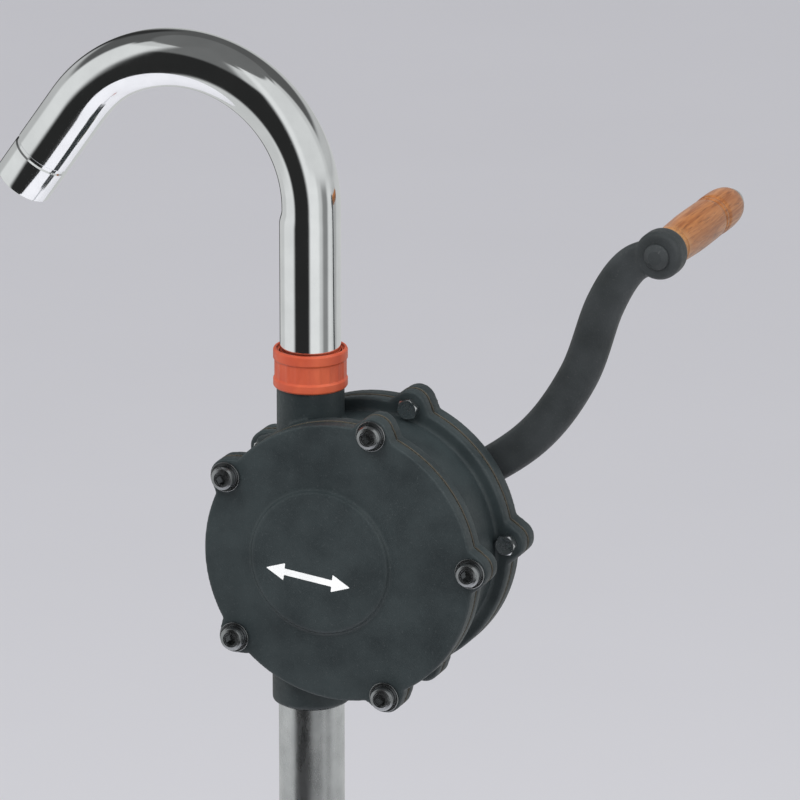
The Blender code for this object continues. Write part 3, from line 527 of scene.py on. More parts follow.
def piece(node, mesh, place=None, sharp_deg=34.0, slot=None, look=None):
    """Show this mesh in place of a CAD node, on the node's own body."""
    if sharp_deg:
        mesh.shade_smooth()
        mesh.set_sharp_from_angle(angle=math.radians(sharp_deg))
    slot = slot or SLOT_OF[node]
    mesh.materials.clear()
    mesh.materials.append(look or LOOKS[slot])
    obj = added(f"{node}_detail", mesh)
    if place:
        obj.matrix_world = place
    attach(obj, BODY_OF[node])
    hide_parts(node)
    return obj


def cast(node, parts, removed, voxel, smoothing=4):
    """Melt these helpers together, cut the others from them, and show the result smooth."""
    mesh = solved(parts[0], parts[1:], removed, voxel=voxel, smoothing=smoothing)
    piece(node, mesh, sharp_deg=None).data.shade_smooth()


def thread_rows(radius, low, high, pitch, rows_per_turn=8):
    """Close rows of a profile, from high to low, for a thread to be cut in."""
    count = max(2, round((high - low) / pitch * rows_per_turn))
    return [(radius, high + (low - high) * i / count) for i in range(count + 1)]


def thread_shape(radius, low, high, pitch, depth):
    """Cut a V thread into the rows of this radius, fading out at both ends."""

    def shape(angle, reach, height):
        if abs(reach - radius) > 1e-4 or not low <= height <= high:
            return reach
        turn = (height / pitch - angle / (2 * math.pi)) % 1.0
        fade = min(1.0, (height - low) / pitch, (high - height) / pitch)
        return reach - depth * fade * abs(2 * turn - 1)

    return shape


# ------------------------ housing


def lug_places():
    """(x, z) of each lug's centre."""
    turns = [math.radians(FIRST_LUG_DEG + 360.0 / LUG_COUNT * i) for i in range(LUG_COUNT)]
    return [(BODY_X + LUG_PITCH_R * math.cos(t), BODY_Z + LUG_PITCH_R * math.sin(t)) for t in turns]


def lobed_disc(low, high):
    """Helpers for a disc with five webbed lugs, between two depths along Y."""
    edge = min(CAST_EDGE, 0.2 * (high - low))
    disc = helper(rod(COVER_R, low, high, sides=160, edge=edge), ON_BODY)
    outline = [(COVER_R + beyond, -half) for beyond, half in LUG_WEB]
    outline += [(x, -y) for x, y in reversed(outline)]
    lugs, webs = [], []
    for x, z in lug_places():
        lugs.append(helper(rod(LUG_R, low, high, sides=40, edge=edge), along_y(x, z)))
        turn = math.atan2(z - BODY_Z, x - BODY_X)
        place = Matrix.Translation((BODY_X, 0, BODY_Z)) @ Matrix.Rotation(-turn, 4, "Y")
        web = prism(outline, -high + edge / 2, -low - edge / 2)
        webs.append(helper(web, place @ Matrix.Rotation(math.pi / 2, 4, "X")))
    return [disc] + lugs + webs


def hole_cutters():
    """Helpers that drill every lug."""
    return [helper(rod(HOLE_R, -PAST, PAST, sides=24), along_y(x, z)) for x, z in lug_places()]


def neck_blend(side_r, height, upward):
    """The cast flare from a port into the barrel, narrower across the body than along it."""
    arc = [math.radians(90.0 * i / 12) for i in range(13)]
    profile = [(0, height + FLARE_R)]
    for t in arc:
        profile.append((side_r + FLARE_R * (1 - math.cos(t)), height + FLARE_R * (1 - math.sin(t))))
    profile += [(side_r + FLARE_R, FLARE_ROOT), (0, FLARE_ROOT)]
    place = Matrix.Translation((0, 0, BODY_Z)) @ Matrix.Diagonal((1, FLARE_SQUASH, upward, 1))
    return helper(turned(profile), place)


def make_pump_body():
    """The cast shell: two flanges, the barrel between them, the neck above and the socket below."""
    front = lobed_disc(-BODY_HALF, FLANGE_THICK - BODY_HALF)
    rear = lobed_disc(BODY_HALF - FLANGE_THICK, BODY_HALF)
    inside = BODY_HALF - 3
    barrel = helper(rod(BARREL_R, -inside, inside, sides=160), ON_BODY)
    shoulder = UNION_LOW - GAP
    wall_start, bore_start, bore_end = 40, 20, 120  # from the body's centre
    below = 20  # past the socket's mouth
    neck_flare, socket_flare = 51.0, 52.0
    socket_depth, chamfer = 22, 1.2
    neck = [(0, NECK_TOP), (NECK_THREAD_R - 1, NECK_TOP), (NECK_THREAD_R, NECK_TOP - 1)]
    neck += [(NECK_THREAD_R, shoulder), (NECK_R, shoulder)]
    neck += [(NECK_R, BODY_Z + wall_start), (0, BODY_Z + wall_start)]
    socket = [(0, BODY_Z - wall_start), (SOCKET_R, BODY_Z - wall_start)]
    socket += [(SOCKET_R, SOCKET_FOOT + chamfer), (SOCKET_R - chamfer, SOCKET_FOOT), (0, SOCKET_FOOT)]
    ports = [
        neck_blend(NECK_R - 0.4, neck_flare, 1),
        neck_blend(SOCKET_R - 0.4, socket_flare, -1),
        helper(turned(neck)),
        helper(turned(socket)),
    ]
    thread_r, thread_end = PIPE_THREAD_R + GAP, SOCKET_FOOT + socket_depth
    inlet = [(0, BODY_Z - bore_start), (PORT_BORE_R, BODY_Z - bore_start), (PORT_BORE_R, thread_end)]
    inlet += [(thread_r, thread_end), (thread_r, SOCKET_FOOT - below), (0, SOCKET_FOOT - below)]
    removed = [
        helper(rod(BORE_R, -PAST, PAST, sides=128), ON_BODY),
        helper(rod(PORT_BORE_R, BODY_Z + bore_start, BODY_Z + bore_end)),
        helper(turned(inlet)),
    ]
    cast("pump_body", front + rear + [barrel] + ports, removed + hole_cutters(), voxel=0.9)


def make_front_cover():
    """The blank cover, with a round pad over the shaft's end and a pocket for its bush behind."""
    parts = lobed_disc(-COVER_OUTER, -COVER_INNER)
    pad_top = span("front_cover")[0].y
    pad_root = -COVER_OUTER + 2
    pad = rounded([(0, pad_top), (PAD_R, pad_top), (PAD_R + 0.8, pad_root), (0, pad_root)], 1.3)
    parts.append(helper(turned(pad, 128), ON_SHAFT))
    bush_r = (span("front_bush")[1].x - span("front_bush")[0].x) / 2 + GAP
    end_wall = 2.2  # left in front of the shaft
    pocket = helper(rod(bush_r, -COVER_OUTER + end_wall, 0), ON_SHAFT)
    cast("front_cover", parts, [pocket] + hole_cutters(), voxel=0.8)


def make_rear_cover():
    """The crank side's cover: gland boss, and a straight stiffening rib."""
    parts = lobed_disc(COVER_INNER, COVER_OUTER)
    boss_end = span("rear_cover")[1].y
    root = COVER_OUTER - 1
    boss_r, boss_foot_r = 19.0, 20.5
    boss = rounded([(0, boss_end), (boss_r, boss_end), (boss_foot_r, root), (0, root)], 1.2)
    parts.append(helper(turned(boss), ON_SHAFT))
    rib_half, rib_reach, rib_rise = 2.2, 62, 2.5
    rib = block((-rib_half, rib_half), (-rib_reach, rib_reach), (root, COVER_OUTER + rib_rise))
    parts.append(helper(rib, ON_BODY))
    gland_bore_r, gland_depth = 14.3, 9.8
    bush_bore_r, past = 12.3, 5
    removed = [
        helper(rod(gland_bore_r, boss_end - gland_depth, boss_end + past), ON_SHAFT),
        helper(rod(bush_bore_r, COVER_INNER - past, boss_end - past), ON_SHAFT),
    ]
    cast("rear_cover", parts, removed + hole_cutters(), voxel=0.8)


def make_gaskets():
    """The two sheets between the shell and its covers."""
    bore_r = BORE_R + 0.5
    for node in ("front_gasket", "rear_gasket"):
        low, high = span(node)
        parts = lobed_disc(low.y, high.y)
        bore = helper(rod(bore_r, -PAST, PAST, sides=128), ON_BODY)
        piece(node, solved(parts[0], parts[1:], [bore] + hole_cutters()))


def chamfered_hex(radius, low, high, joined=(), removed=(), turn=0.0):
    """The mesh of a hexagon with chamfered corners, with helpers added to it and cut from it."""
    flat = helper(prism(polygon(6, radius, turn), low, high))
    rise = HEX_CHAMFER_RISE * radius
    inner = radius * HEX_FACE
    outer = radius + 0.1
    profile = [(0, high), (inner, high), (outer, high - rise), (outer, low + rise), (inner, low), (0, low)]
    core = added("helper", solved(flat, kept=[helper(turned(profile, 72))]))
    return solved(core, joined, removed)


def screw_thread(radius, low, high, pitch=1.0, depth=0.5, sides=40):
    """A threaded shank with a chamfered tip at its high end."""
    tip_height, tip_inset = 0.5, 0.6
    end = high - tip_height
    profile = [(0, high), (radius - tip_inset, high)]
    profile += thread_rows(radius, low, end, pitch) + [(0, low)]
    return turned(profile, sides, shape=thread_shape(radius, low, end, pitch, depth))


def make_front_screws():
    """Socket-head screws, domed at the edge, on thin washers."""
    low, high = span("front_screw_1")
    top = -low.y
    head = top - SCREW_HEAD_HEIGHT
    dome = [(4.0, top), (5.5, top - 0.5), (SCREW_HEAD_R, top - 1.8)]
    profile = [(0, top)] + dome + [(SCREW_HEAD_R, head), (0, head)]
    core = helper(turned(rounded(profile, 0.5), 64))
    overlap = 0.2
    shank = helper(screw_thread(SCREW_R, -high.y, head + overlap))
    dish_r, dish_foot_r, dish_depth = 3.9, 3.3, 0.5
    dish = [(0, top + 1), (dish_r, top + 1), (dish_foot_r, top - dish_depth), (0, top - dish_depth)]
    dish = helper(turned(dish, 48))
    socket_depth = 3.0
    socket = helper(prism(polygon(6, HEX_KEY_R), top - socket_depth, top + 1))
    mesh = solved(core, [shank], [dish, socket])
    ring = mesh_of(tube(HOLE_R, WASHER_R, -WASHER_HALF, WASHER_HALF, sides=64, edge=0.35))
    ring_y = middle("front_washer_1").y
    for i, (x, z) in enumerate(lug_places(), 1):
        tightened = Matrix.Rotation(math.pi / 2, 4, "X") @ Matrix.Rotation(0.7 * i, 4, "Z")
        place = Matrix.Translation(Vector((x, 0, z)) * MM) @ tightened
        piece(f"front_screw_{i}", mesh, place, look=DULLED_STEEL)
        seat = Matrix.Translation(Vector((0, ring_y, 0)) * MM) @ place
        piece(f"front_washer_{i}", ring, seat, look=DULLED_STEEL)


def make_rear_bolts():
    """Hex bolts through the rear lugs, with yellow nuts."""
    low, high = span("rear_bolt_1")
    head_top = low.y + SMALL_HEAD_HEIGHT
    shank = helper(screw_thread(SCREW_R, head_top - 0.5, high.y))
    bolt = chamfered_hex(SMALL_HEX_R, low.y, head_top, [shank])
    nut_low, nut_high = span("rear_nut_1")
    bore = helper(rod(HOLE_R, 20, PAST, sides=40))
    nut = chamfered_hex(SMALL_HEX_R, nut_low.y, nut_high.y, removed=[bore])
    for i, (x, z) in enumerate(lug_places(), 1):
        turn = -math.radians(FIRST_LUG_DEG + 360.0 / LUG_COUNT * (i - 1))
        place = along_y(x * MM, z * MM) @ Matrix.Rotation(turn, 4, "Z")
        piece(f"rear_bolt_{i}", bolt, place)
        piece(f"rear_nut_{i}", nut, place)


def make_mark():
    """A plain two-way arrow printed on the front pad."""
    length, head, half_head, half_bar = 46.0, 10.0, 4.6, 1.7
    ink, sunk, tilt = 0.16, 0.1, math.radians(7)
    aside, drop = 14.8, 8.2
    neck = length / 2 - head
    right = [(0, half_bar), (neck, half_bar), (neck, half_head), (length / 2, 0)]
    right += [(x, -y) for x, y in reversed(right[:-1])]
    outline = rounded(right + [(-x, -y) for x, y in right[1:-1]], 0.4, 3, closed=True)
    bm = skin([[(x, depth, y) for x, y in outline] for depth in (0, ink)])
    bm.verts.ensure_lookup_table()
    bm.faces.new(bm.verts[: len(outline)])
    bm.faces.new(bm.verts[len(outline) :])
    pad_top = span("front_cover")[0].y
    place = Matrix.Translation((BODY_X - aside, pad_top - sunk, BODY_Z - drop))
    mesh = mesh_of(bm, place @ Matrix.Rotation(tilt, 4, "Y"))
    mesh.materials.append(PRINT)
    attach(added("front_arrow_print", mesh), BODY_OF["front_cover"])


# ------------------------ crank


def smooth_curve(points, steps):
    """Catmull-Rom curve through 2-D points."""
    path = [Vector(p) for p in points]
    path = [2 * path[0] - path[1]] + path + [2 * path[-1] - path[-2]]
    curve = []
    for p0, p1, p2, p3 in zip(path, path[1:], path[2:], path[3:]):
        for i in range(steps):
            t = i / steps
            bend = (2 * p0 - 5 * p1 + 4 * p2 - p3) * t**2 + (3 * p1 - p0 - 3 * p2 + p3) * t**3
            curve.append(0.5 * (2 * p1 + (p2 - p0) * t + bend))
    return curve + [Vector(points[-1])]


def oval(width, thick, sides=32, fullness=0.55):
    """A flat oval section with full corners, as (across, depth) points."""
    points = []
    for i in range(sides):
        angle = 2 * math.pi * (i + 0.5) / sides
        c, s = math.cos(angle), math.sin(angle)
        across = math.copysign(abs(c) ** fullness, c) * width / 2
        points.append((across, math.copysign(abs(s) ** fullness, s) * thick / 2))
    return points


def make_crank_arm():
    """The S-shaped arm with its hub and the boss that holds the handle's spindle."""
    along = Vector((math.cos(CRANK_TURN), 0, math.sin(CRANK_TURN)))
    aside = Vector((-math.sin(CRANK_TURN), 0, math.cos(CRANK_TURN)))
    centre = Vector((SHAFT.x, ARM_MIDDLE, SHAFT.z))
    curve = smooth_curve(ARM_BENDS, 12)
    path = [centre + along * (share * CRANK_R) + aside * off for share, off in curve]
    rows = []
    last = len(path) - 1
    for i, point in enumerate(path):
        ahead = path[min(i + 1, last)] - path[max(i - 1, 0)]
        across = Vector((-ahead.z, 0, ahead.x)).normalized()
        section = oval(ARM_WIDTH + ARM_WIDENING * math.sin(math.pi * i / last), ARM_THICK)
        rows.append([point + across * side + Vector((0, depth, 0)) for side, depth in section])
    hub = rod(HUB_R, HUB_START, HUB_END, sides=96, edge=1.4)
    boss = rod(END_BOSS_R, END_BOSS_START, END_BOSS_TOP, sides=96, edge=3.5)
    parts = [helper(capped(rows)), helper(hub, ON_SHAFT), helper(boss, ON_GRIP)]
    square = (-SQUARE_HALF - GAP, SQUARE_HALF + GAP)
    through = (40, 100)
    removed = [
        helper(block(square, square, through), ON_SHAFT),
        helper(rod(SPINDLE_BORE_R, *through), ON_GRIP),
    ]
    cast("crank_arm", parts, removed, voxel=0.7, smoothing=5)


def make_shaft():
    """The stepped shaft, with its square seat and threaded end."""
    low, high = span("shaft")
    shoulder = HUB_START - GAP
    square = (-SQUARE_HALF, SQUARE_HALF)
    seat_end = HUB_END - GAP
    thread_start, thread_end, pitch, depth = seat_end + 0.2, high.y - 0.6, 1.5, 0.7
    profile = [(0, high.y), (SHAFT_END_R - depth, high.y)]
    profile += thread_rows(SHAFT_END_R, thread_start, thread_end, pitch)
    profile += [(SHAFT_END_R, shoulder), (SHAFT_R, shoulder), (SHAFT_R, low.y), (0, low.y)]
    shape = thread_shape(SHAFT_END_R, thread_start, thread_end, pitch, depth)
    shaft = helper(turned(profile, 64, shape=shape))
    seat = helper(block(square, square, (shoulder - 2, seat_end)))
    key_half_width, key_floor, key_half_length = 2.3, -5.4, 15
    keyway = block((-key_half_width, key_half_width), (-12, key_floor), (-key_half_length, key_half_length))
    keyway = helper(keyway)
    mesh = solved(shaft, [seat], [keyway])
    piece("shaft", mesh, along_y(SHAFT.x * MM, SHAFT.z * MM))


def make_shaft_nuts():
    """The gland nut round the shaft, and the washer and nut on its end."""
    place = along_y(SHAFT.x * MM, SHAFT.z * MM)
    low, high = span("gland_nut")
    boss = span("rear_cover")[1].y + GAP
    core_r, hex_r, overlap = 14.0, 17.5, 2
    core = [(0, boss + overlap), (core_r, boss + overlap), (core_r, low.y), (0, low.y)]
    core = helper(turned(core))
    bore = helper(rod(SHAFT_R + GAP, 30, 70))
    piece("gland_nut", chamfered_hex(hex_r, boss, high.y, [core], [bore], math.pi / 6), place)
    low, high = span("crank_nut")
    bore_r, hex_r, washer_r = SHAFT_END_R + GAP, 9.8, 10.5
    bore = helper(rod(bore_r, 60, 110))
    piece("crank_nut", chamfered_hex(hex_r, low.y, high.y, removed=[bore]), place)
    low, high = span("crank_washer")
    piece("crank_washer", mesh_of(tube(bore_r, washer_r, low.y, high.y)), place)


def make_handle():
    """The wooden grip, its fixed spindle, washer and end cap."""
    place = along_y(GRIP.x * MM, GRIP.z * MM)
    low, high = span("wooden_grip")
    length = high.y - low.y
    # Radii at shares of the grip's length, from the arm outward
    foot = [(0.0, 8.9), (0.006, 9.5), (0.045, 9.9), (0.05, 9.4), (0.062, 9.4), (0.067, 10.0)]
    swell = smooth_curve([(0.10, 10.1), (0.22, 10.5), (0.38, 10.9), (0.62, 10.7)], 8)
    rings = [(0.645, 10.6), (0.652, 9.9), (0.662, 9.9), (0.669, 10.6), (0.690, 10.6), (0.697, 9.9)]
    rings += [(0.707, 9.9), (0.714, 10.6)]
    tip = smooth_curve([(0.74, 10.8), (0.86, 10.7), (0.94, 10.0), (0.985, 8.8), (1.0, 7.3)], 6)
    outline = [(r, low.y + share * length) for share, r in foot + swell + rings + tip]
    profile = [(SPINDLE_BORE_R, low.y)] + outline + [(SPINDLE_BORE_R, high.y)]
    grip = mesh_of(turned(profile[::-1], 96, ring=True), ON_GRIP)
    piece("wooden_grip", grip, sharp_deg=50)

    low, high = span("handle_spindle")
    head = [(0, low.y), (3.5, low.y + 0.15), (6.0, low.y + 1.2), (7.0, low.y + 2.6)]
    profile = [(0, high.y), (SPINDLE_R, high.y), (SPINDLE_R, low.y + 2.6)] + head[::-1]
    spindle = mesh_of(turned(rounded(profile, 0.5), 64))
    piece("handle_spindle", spindle, place, slot="arm_black")

    low, high = span("handle_cap")
    cap_r, dome_height, hollow = 7.5, 6, 4.2
    turns = [math.radians(90 - 10 * i) for i in range(10)]
    profile = [(cap_r * math.cos(t), high.y - dome_height + dome_height * math.sin(t)) for t in turns]
    profile += [(cap_r, low.y), (SPINDLE_BORE_R, low.y)]
    profile += [(SPINDLE_BORE_R, low.y + hollow), (0, low.y + hollow)]
    piece("handle_cap", mesh_of(turned(profile, 64)), place)

    low, high = span("handle_washer")
    piece("handle_washer", mesh_of(tube(SPINDLE_BORE_R, 8.5, low.y, high.y)), place)


# ------------------------ tubes


def oval_ring(centre, out, reach_out, reach_in, aside_r, sides=96):
    """A ring round a tube's centreline, flattened on the inside of its bend."""
    ring = []
    for i in range(sides):
        angle = 2 * math.pi * i / sides
        c, s = math.cos(angle), math.sin(angle)
        reach = reach_out if c > 0 else reach_in
        ring.append(centre + out * (reach * c) + Vector((0, aside_r * s, 0)))
    return ring


def eased(t):
    """0 below 0, 1 above 1 and an S curve between."""
    t = min(1.0, max(0.0, t))
    return t * t * (3 - 2 * t)


def spout_stations(foot):
    """(centre, outward direction, flattening, swell) from the collar to the mouth."""
    out = Vector((1, 0, 0))
    flat_start = BEND_CENTRE_Z - 8
    flat_rise, fade_steps = 7, 14  # how soon the flattening comes, and how soon it goes
    heights = [foot + (flat_start - foot) * i / 12 for i in range(13)]
    heights += [flat_start + i for i in range(1, 9)]
    stations = [(Vector((0, 0, z)), out, eased((z - flat_start) / flat_rise), 0.0) for z in heights]
    hub = Vector((-BEND_R, 0, BEND_CENTRE_Z))
    steps = 72
    for i in range(1, steps + 1):
        angle = math.radians(BEND_DEG * i / steps)
        out = Vector((math.cos(angle), 0, math.sin(angle)))
        stations.append((hub + out * BEND_R, out, eased((steps - i) / fade_steps), 0.0))
    ahead = Vector((-out.z, 0, out.x))
    end = stations[-1][0]
    groove = TAIL - 20
    # (distance along the straight tail, change of radius)
    runs = [(4, 0), (groove - 4, 0), (groove - 1.6, 0), (groove - 0.8, -0.7), (groove + 0.8, -0.7)]
    runs += [(groove + 1.6, 0), (groove + 4, 0), (TAIL - 1.5, 0), (TAIL - 0.4, -0.1), (TAIL, -0.5)]
    return stations + [(end + ahead * run, out, 0.0, swell) for run, swell in runs]


def make_spout():
    """The chromed gooseneck, with its inner side slightly flattened through the bend."""
    foot = span("spout_tube")[0].z
    collar, bevel, rim = 2.5, 0.4, NECK_THREAD_R - 0.1
    squash = 1.5
    outside, inside = [], []
    for centre, out, flat, swell in spout_stations(foot + collar):
        radius = STEM_R + swell
        outside.append(oval_ring(centre, out, radius, radius - squash * flat, radius + 0.2 * flat))
        inside.append(oval_ring(centre, out, STEM_BORE_R, STEM_BORE_R - squash * flat, STEM_BORE_R))
    edge = [(rim - bevel, 0), (rim, bevel), (rim, collar - bevel), (rim - bevel, collar), (STEM_BORE_R, 0)]
    rings = [oval_ring(Vector((0, 0, foot + z)), Vector((1, 0, 0)), r, r, r) for r, z in edge]
    spout = skin(rings[:-1] + outside + inside[::-1] + rings[-1:], closed_rows=True)
    piece("spout_tube", mesh_of(spout), sharp_deg=28)


def make_union_nut():
    """The plastic union nut: a raised top rim, a shallow waist and a beaded foot."""
    low, top = UNION_LOW, UNION_TOP
    radius = (span("union_nut")[1].x - span("union_nut")[0].x) / 2
    waist_r = radius - 0.9
    mouth_r, bore_r, thread_r = 17.2, STEM_R + GAP, NECK_THREAD_R + GAP
    land, lip = top - 3.2, top - 1.3
    lead, lead_height = 1.2, 1.6  # clears the root of the cast shoulder
    profile = [(bore_r, lip), (mouth_r - 0.3, lip), (mouth_r, top), (radius - 0.5, top), (radius, top - 1.0)]
    profile += [(radius, top - 5.2), (waist_r, top - 6.2), (waist_r, low + 5.2), (radius, low + 4.2)]
    profile += [(radius, low + 0.8), (radius - 0.6, low), (thread_r + lead, low)]
    profile += [(thread_r, low + lead_height), (thread_r, land), (bore_r, land)]
    rib_height, rib_count = 0.35, 20

    def ribbed(angle, reach, height):
        waist = reach > radius - 1 and low + 5 < height < top - 6
        return reach + (rib_height * max(0.0, math.cos(rib_count * angle)) if waist else 0.0)

    nut = turned(rounded(profile, 0.45, closed=True), 160, ring=True, shape=ribbed)
    piece("union_nut", mesh_of(nut))


def make_pipes():
    """Three plated sections. The first two end in a rolled socket for the next one's thread."""
    thread_length, socket_depth, socket_end, taper_end = 19.0, 20.0, 22.5, 27.0
    for node in ("upper_pipe", "middle_pipe", "lower_pipe"):
        low, high = span(node)
        foot, tip = low.z, high.z
        top = tip - thread_length
        start, end = top + 0.5, tip - 0.6
        profile = [(PIPE_BORE_R, tip), (PIPE_THREAD_R - 0.5, tip)]
        profile += thread_rows(PIPE_THREAD_R, start, end, PIPE_THREAD_PITCH)
        profile += [(PIPE_THREAD_R, top), (PIPE_R - 0.3, top), (PIPE_R, top - 0.5)]
        if high.x > PIPE_R + 0.5:
            bore_r = PIPE_THREAD_R + GAP
            socket = [(PIPE_R, foot + 2 * socket_depth), (PIPE_R, foot + taper_end)]
            socket += [(PIPE_SOCKET_R, foot + socket_end), (PIPE_SOCKET_R, foot), (bore_r, foot)]
            profile += rounded(socket, 1.2)
            profile += [(bore_r, foot + socket_depth), (PIPE_BORE_R, foot + socket_depth)]
        else:
            profile += [(PIPE_R, foot + 0.5), (PIPE_R - 0.4, foot), (PIPE_BORE_R, foot)]
        shape = thread_shape(PIPE_THREAD_R, start, end, PIPE_THREAD_PITCH, depth=0.9)
        pipe = mesh_of(turned(profile, 96, ring=True, shape=shape))
        piece(node, pipe, sharp_deg=28, look=ROLLED_TUBE)


def make_strainer():
    """The plastic foot with four inlets, and a woven wire disc in it."""
    low, high = span("strainer_ring")
    pipe_end = span("lower_pipe")[0].z
    rim_r, mouth_r, seat_r, seat_thick = 22.5, 18.6, 14.6, 2.6
    seat_low, seat_high = pipe_end - seat_thick, pipe_end - GAP
    profile = [(PIPE_R + GAP, high.z), (rim_r - 2, high.z), (rim_r, high.z - 2.0), (rim_r, low.z + 1.0)]
    profile += [(rim_r - 1, low.z), (mouth_r, low.z), (mouth_r, seat_low)]
    profile += [(seat_r, seat_low), (seat_r, seat_high), (PIPE_R + GAP, seat_high)]
    rib_depth, rib_count = 0.5, 24

    def ribbed(angle, reach, height):
        grip = reach > rim_r - 0.1 and height > low.z + 8
        return reach - (rib_depth * max(0.0, math.cos(rib_count * angle)) if grip else 0.0)

    ring = helper(turned(rounded(profile, 0.5, closed=True), 144, ring=True, shape=ribbed))
    notch_half, notch_height = 5, 6
    notches = []
    for turn in (0.0, math.pi / 2):
        slot = block((-40, 40), (-notch_half, notch_half), (low.z - 5, low.z + notch_height))
        notches.append(helper(slot, Matrix.Rotation(turn, 4, "Z")))
    piece("strainer_ring", solved(ring, removed=notches))
    disc = span("strainer_mesh")
    weave = woven_disc(17.6, (disc[0].z + disc[1].z) / 2)
    piece("strainer_mesh", mesh_of(weave), sharp_deg=60)


def woven_disc(radius, height):
    """Plain-woven wires in a disc, with a wire hem."""
    pitch, wire, sides = 2.2, 0.26, 6
    crimp, hem_half_width, hem_half_height = 0.27, 0.5, 0.55
    bm = bmesh.new()

    def add_wire(points, across):
        rows = []
        for point in points:
            ring = []
            for k in range(sides):
                angle = 2 * math.pi * k / sides
                rise = Vector((0, 0, wire * math.sin(angle)))
                ring.append(point + across * (wire * math.cos(angle)) + rise)
            rows.append(ring)
        capped(rows, bm)

    count = int(radius / pitch)
    for j in range(-count, count + 1):
        offset = j * pitch
        half = math.sqrt(radius**2 - offset**2)
        steps = max(4, round(half * 2 / pitch * 4))
        for lengthwise in (True, False):
            points = []
            for i in range(steps + 1):
                run = -half + 2 * half * i / steps
                lift = crimp * math.cos(math.pi * (run / pitch + j)) * (1 if lengthwise else -1)
                x, y = (run, offset) if lengthwise else (offset, run)
                points.append(Vector((x, y, height + lift)))
            add_wire(points, Vector((0, 1, 0)) if lengthwise else Vector((1, 0, 0)))
    turns = [k * math.pi / 4 for k in range(8)]
    hem = [(radius + hem_half_width * math.cos(t), height + hem_half_height * math.sin(t)) for t in turns]
    return turned(hem, 72, ring=True, bm=bm)


def make_bung():
    """The drum fitting: gasket, threaded bush with a ribbed cone, clamp ring and clamp nut."""
    low, high = span("bung_gasket")
    bore_r, gasket_r = 30.3, 34.6
    piece("bung_gasket", mesh_of(tube(bore_r, gasket_r, low.z, high.z, sides=128, edge=0.5)))

    low, high = span("bung_bush")
    flange = span("bung_gasket")[1].z + GAP
    bore = PIPE_R + 0.45
    neck_r, cone_r, cone_foot_r, cone_top, flange_r = 21.7, 28.0, 30.5, 48.0, 35.0
    thread_r, thread_low, thread_high, pitch = 29.8, low.z + 1.5, flange - 1.0, PIPE_THREAD_PITCH
    profile = [(bore, high.z), (neck_r, high.z), (neck_r, cone_top), (cone_r, cone_top)]
    profile += [(cone_foot_r, flange + 16), (flange_r - 0.8, flange + 12.4), (flange_r, flange + 11.4)]
    profile = rounded(profile + [(flange_r, flange), (thread_r, flange)], 0.6)
    profile += thread_rows(thread_r, thread_low, thread_high, pitch)
    profile += [(thread_r - 1.5, low.z), (bore, low.z)]
    cut = thread_shape(thread_r, thread_low, thread_high, pitch, depth=1.2)
    notch_depth, notch_count, rib_height, rib_count = 0.9, 16, 0.9, 8

    def shaped(angle, reach, height):
        if flange + 0.5 < height < flange + 12 and reach > flange_r - 1:
            return reach - notch_depth * max(0.0, math.cos(notch_count * angle)) ** 4
        if flange + 17 < height < cone_top - 0.5 and reach > cone_r - 1:
            return reach + rib_height * max(0.0, math.cos(rib_count * angle)) ** 8
        return cut(angle, reach, height)

    cone_height = 30.9 - flange
    shares = [i / 8 for i in range(9)]
    cone = [(cone_r + (cone_foot_r - cone_r) * t, cone_top - 0.8 - cone_height * t) for t in shares]
    profile = insert_between(profile, cone)
    piece("bung_bush", mesh_of(turned(profile, 192, ring=True, shape=shaped)))

    low, high = span("clamp_ring")
    piece("clamp_ring", mesh_of(tube(PIPE_R + GAP, 21.6, low.z, high.z, edge=0.8)))
    make_clamp_nut(bore)


def insert_between(profile, extra):
    """Add (radius, height) points where their heights fall in a profile's outer cone."""
    low, high = min(h for _, h in extra), max(h for _, h in extra)
    for i, (first, second) in enumerate(zip(profile, profile[1:])):
        if first[1] >= high and second[1] <= low:
            return profile[: i + 1] + extra + profile[i + 1 :]
    return profile


def make_clamp_nut(bore):
    """The tapered nut over the clamp ring, with flutes to grip it by."""
    low, high = span("clamp_nut")
    ring_top = span("clamp_ring")[1].z + 0.4
    bowl_r, skirt_r = 22.0, 27.2
    wall_r, wall_spread, wall_drop, wall_height = 23.0, 3.8, 2.5, 29.0
    shares = [i / 10 for i in range(11)]
    wall = [(wall_r + wall_spread * t, high.z - wall_drop - wall_height * t) for t in shares]
    profile = [(bowl_r, ring_top), (bore, ring_top), (bore, high.z), (22.8, high.z), wall[0]]
    profile = rounded(profile, 0.7) + wall[1:]
    profile += [(skirt_r - 0.2, low.z + 14.5), (skirt_r, low.z + 12), (skirt_r, low.z + 1)]
    profile += [(skirt_r - 0.8, low.z), (bowl_r, low.z)]
    flute_depth, flute_count = 0.8, 24

    def fluted(angle, reach, height):
        if reach > wall_r and low.z + 15 < height < high.z - 3:
            return reach - flute_depth * (1 - abs(math.cos(flute_count / 2 * angle)) ** 0.5)
        return reach

    piece("clamp_nut", mesh_of(turned(profile, 192, ring=True, shape=fluted)))


# ------------------------ studio


def direction(azimuth_deg, elevation_deg):
    """The unit vector at this angle, measured from -Y toward +X and up from level."""
    turn, rise = math.radians(azimuth_deg), math.radians(elevation_deg)
    return Vector((math.sin(turn) * math.cos(rise), -math.cos(turn) * math.cos(rise), math.sin(rise)))


def aimed(obj, aim, out, distance):
    """Put a camera or light this far out from the aim point, and turn it to look back."""
    obj.location = (aim + out * distance) * MM
    obj.rotation_euler = (-out).to_track_quat("-Z", "Y").to_euler()


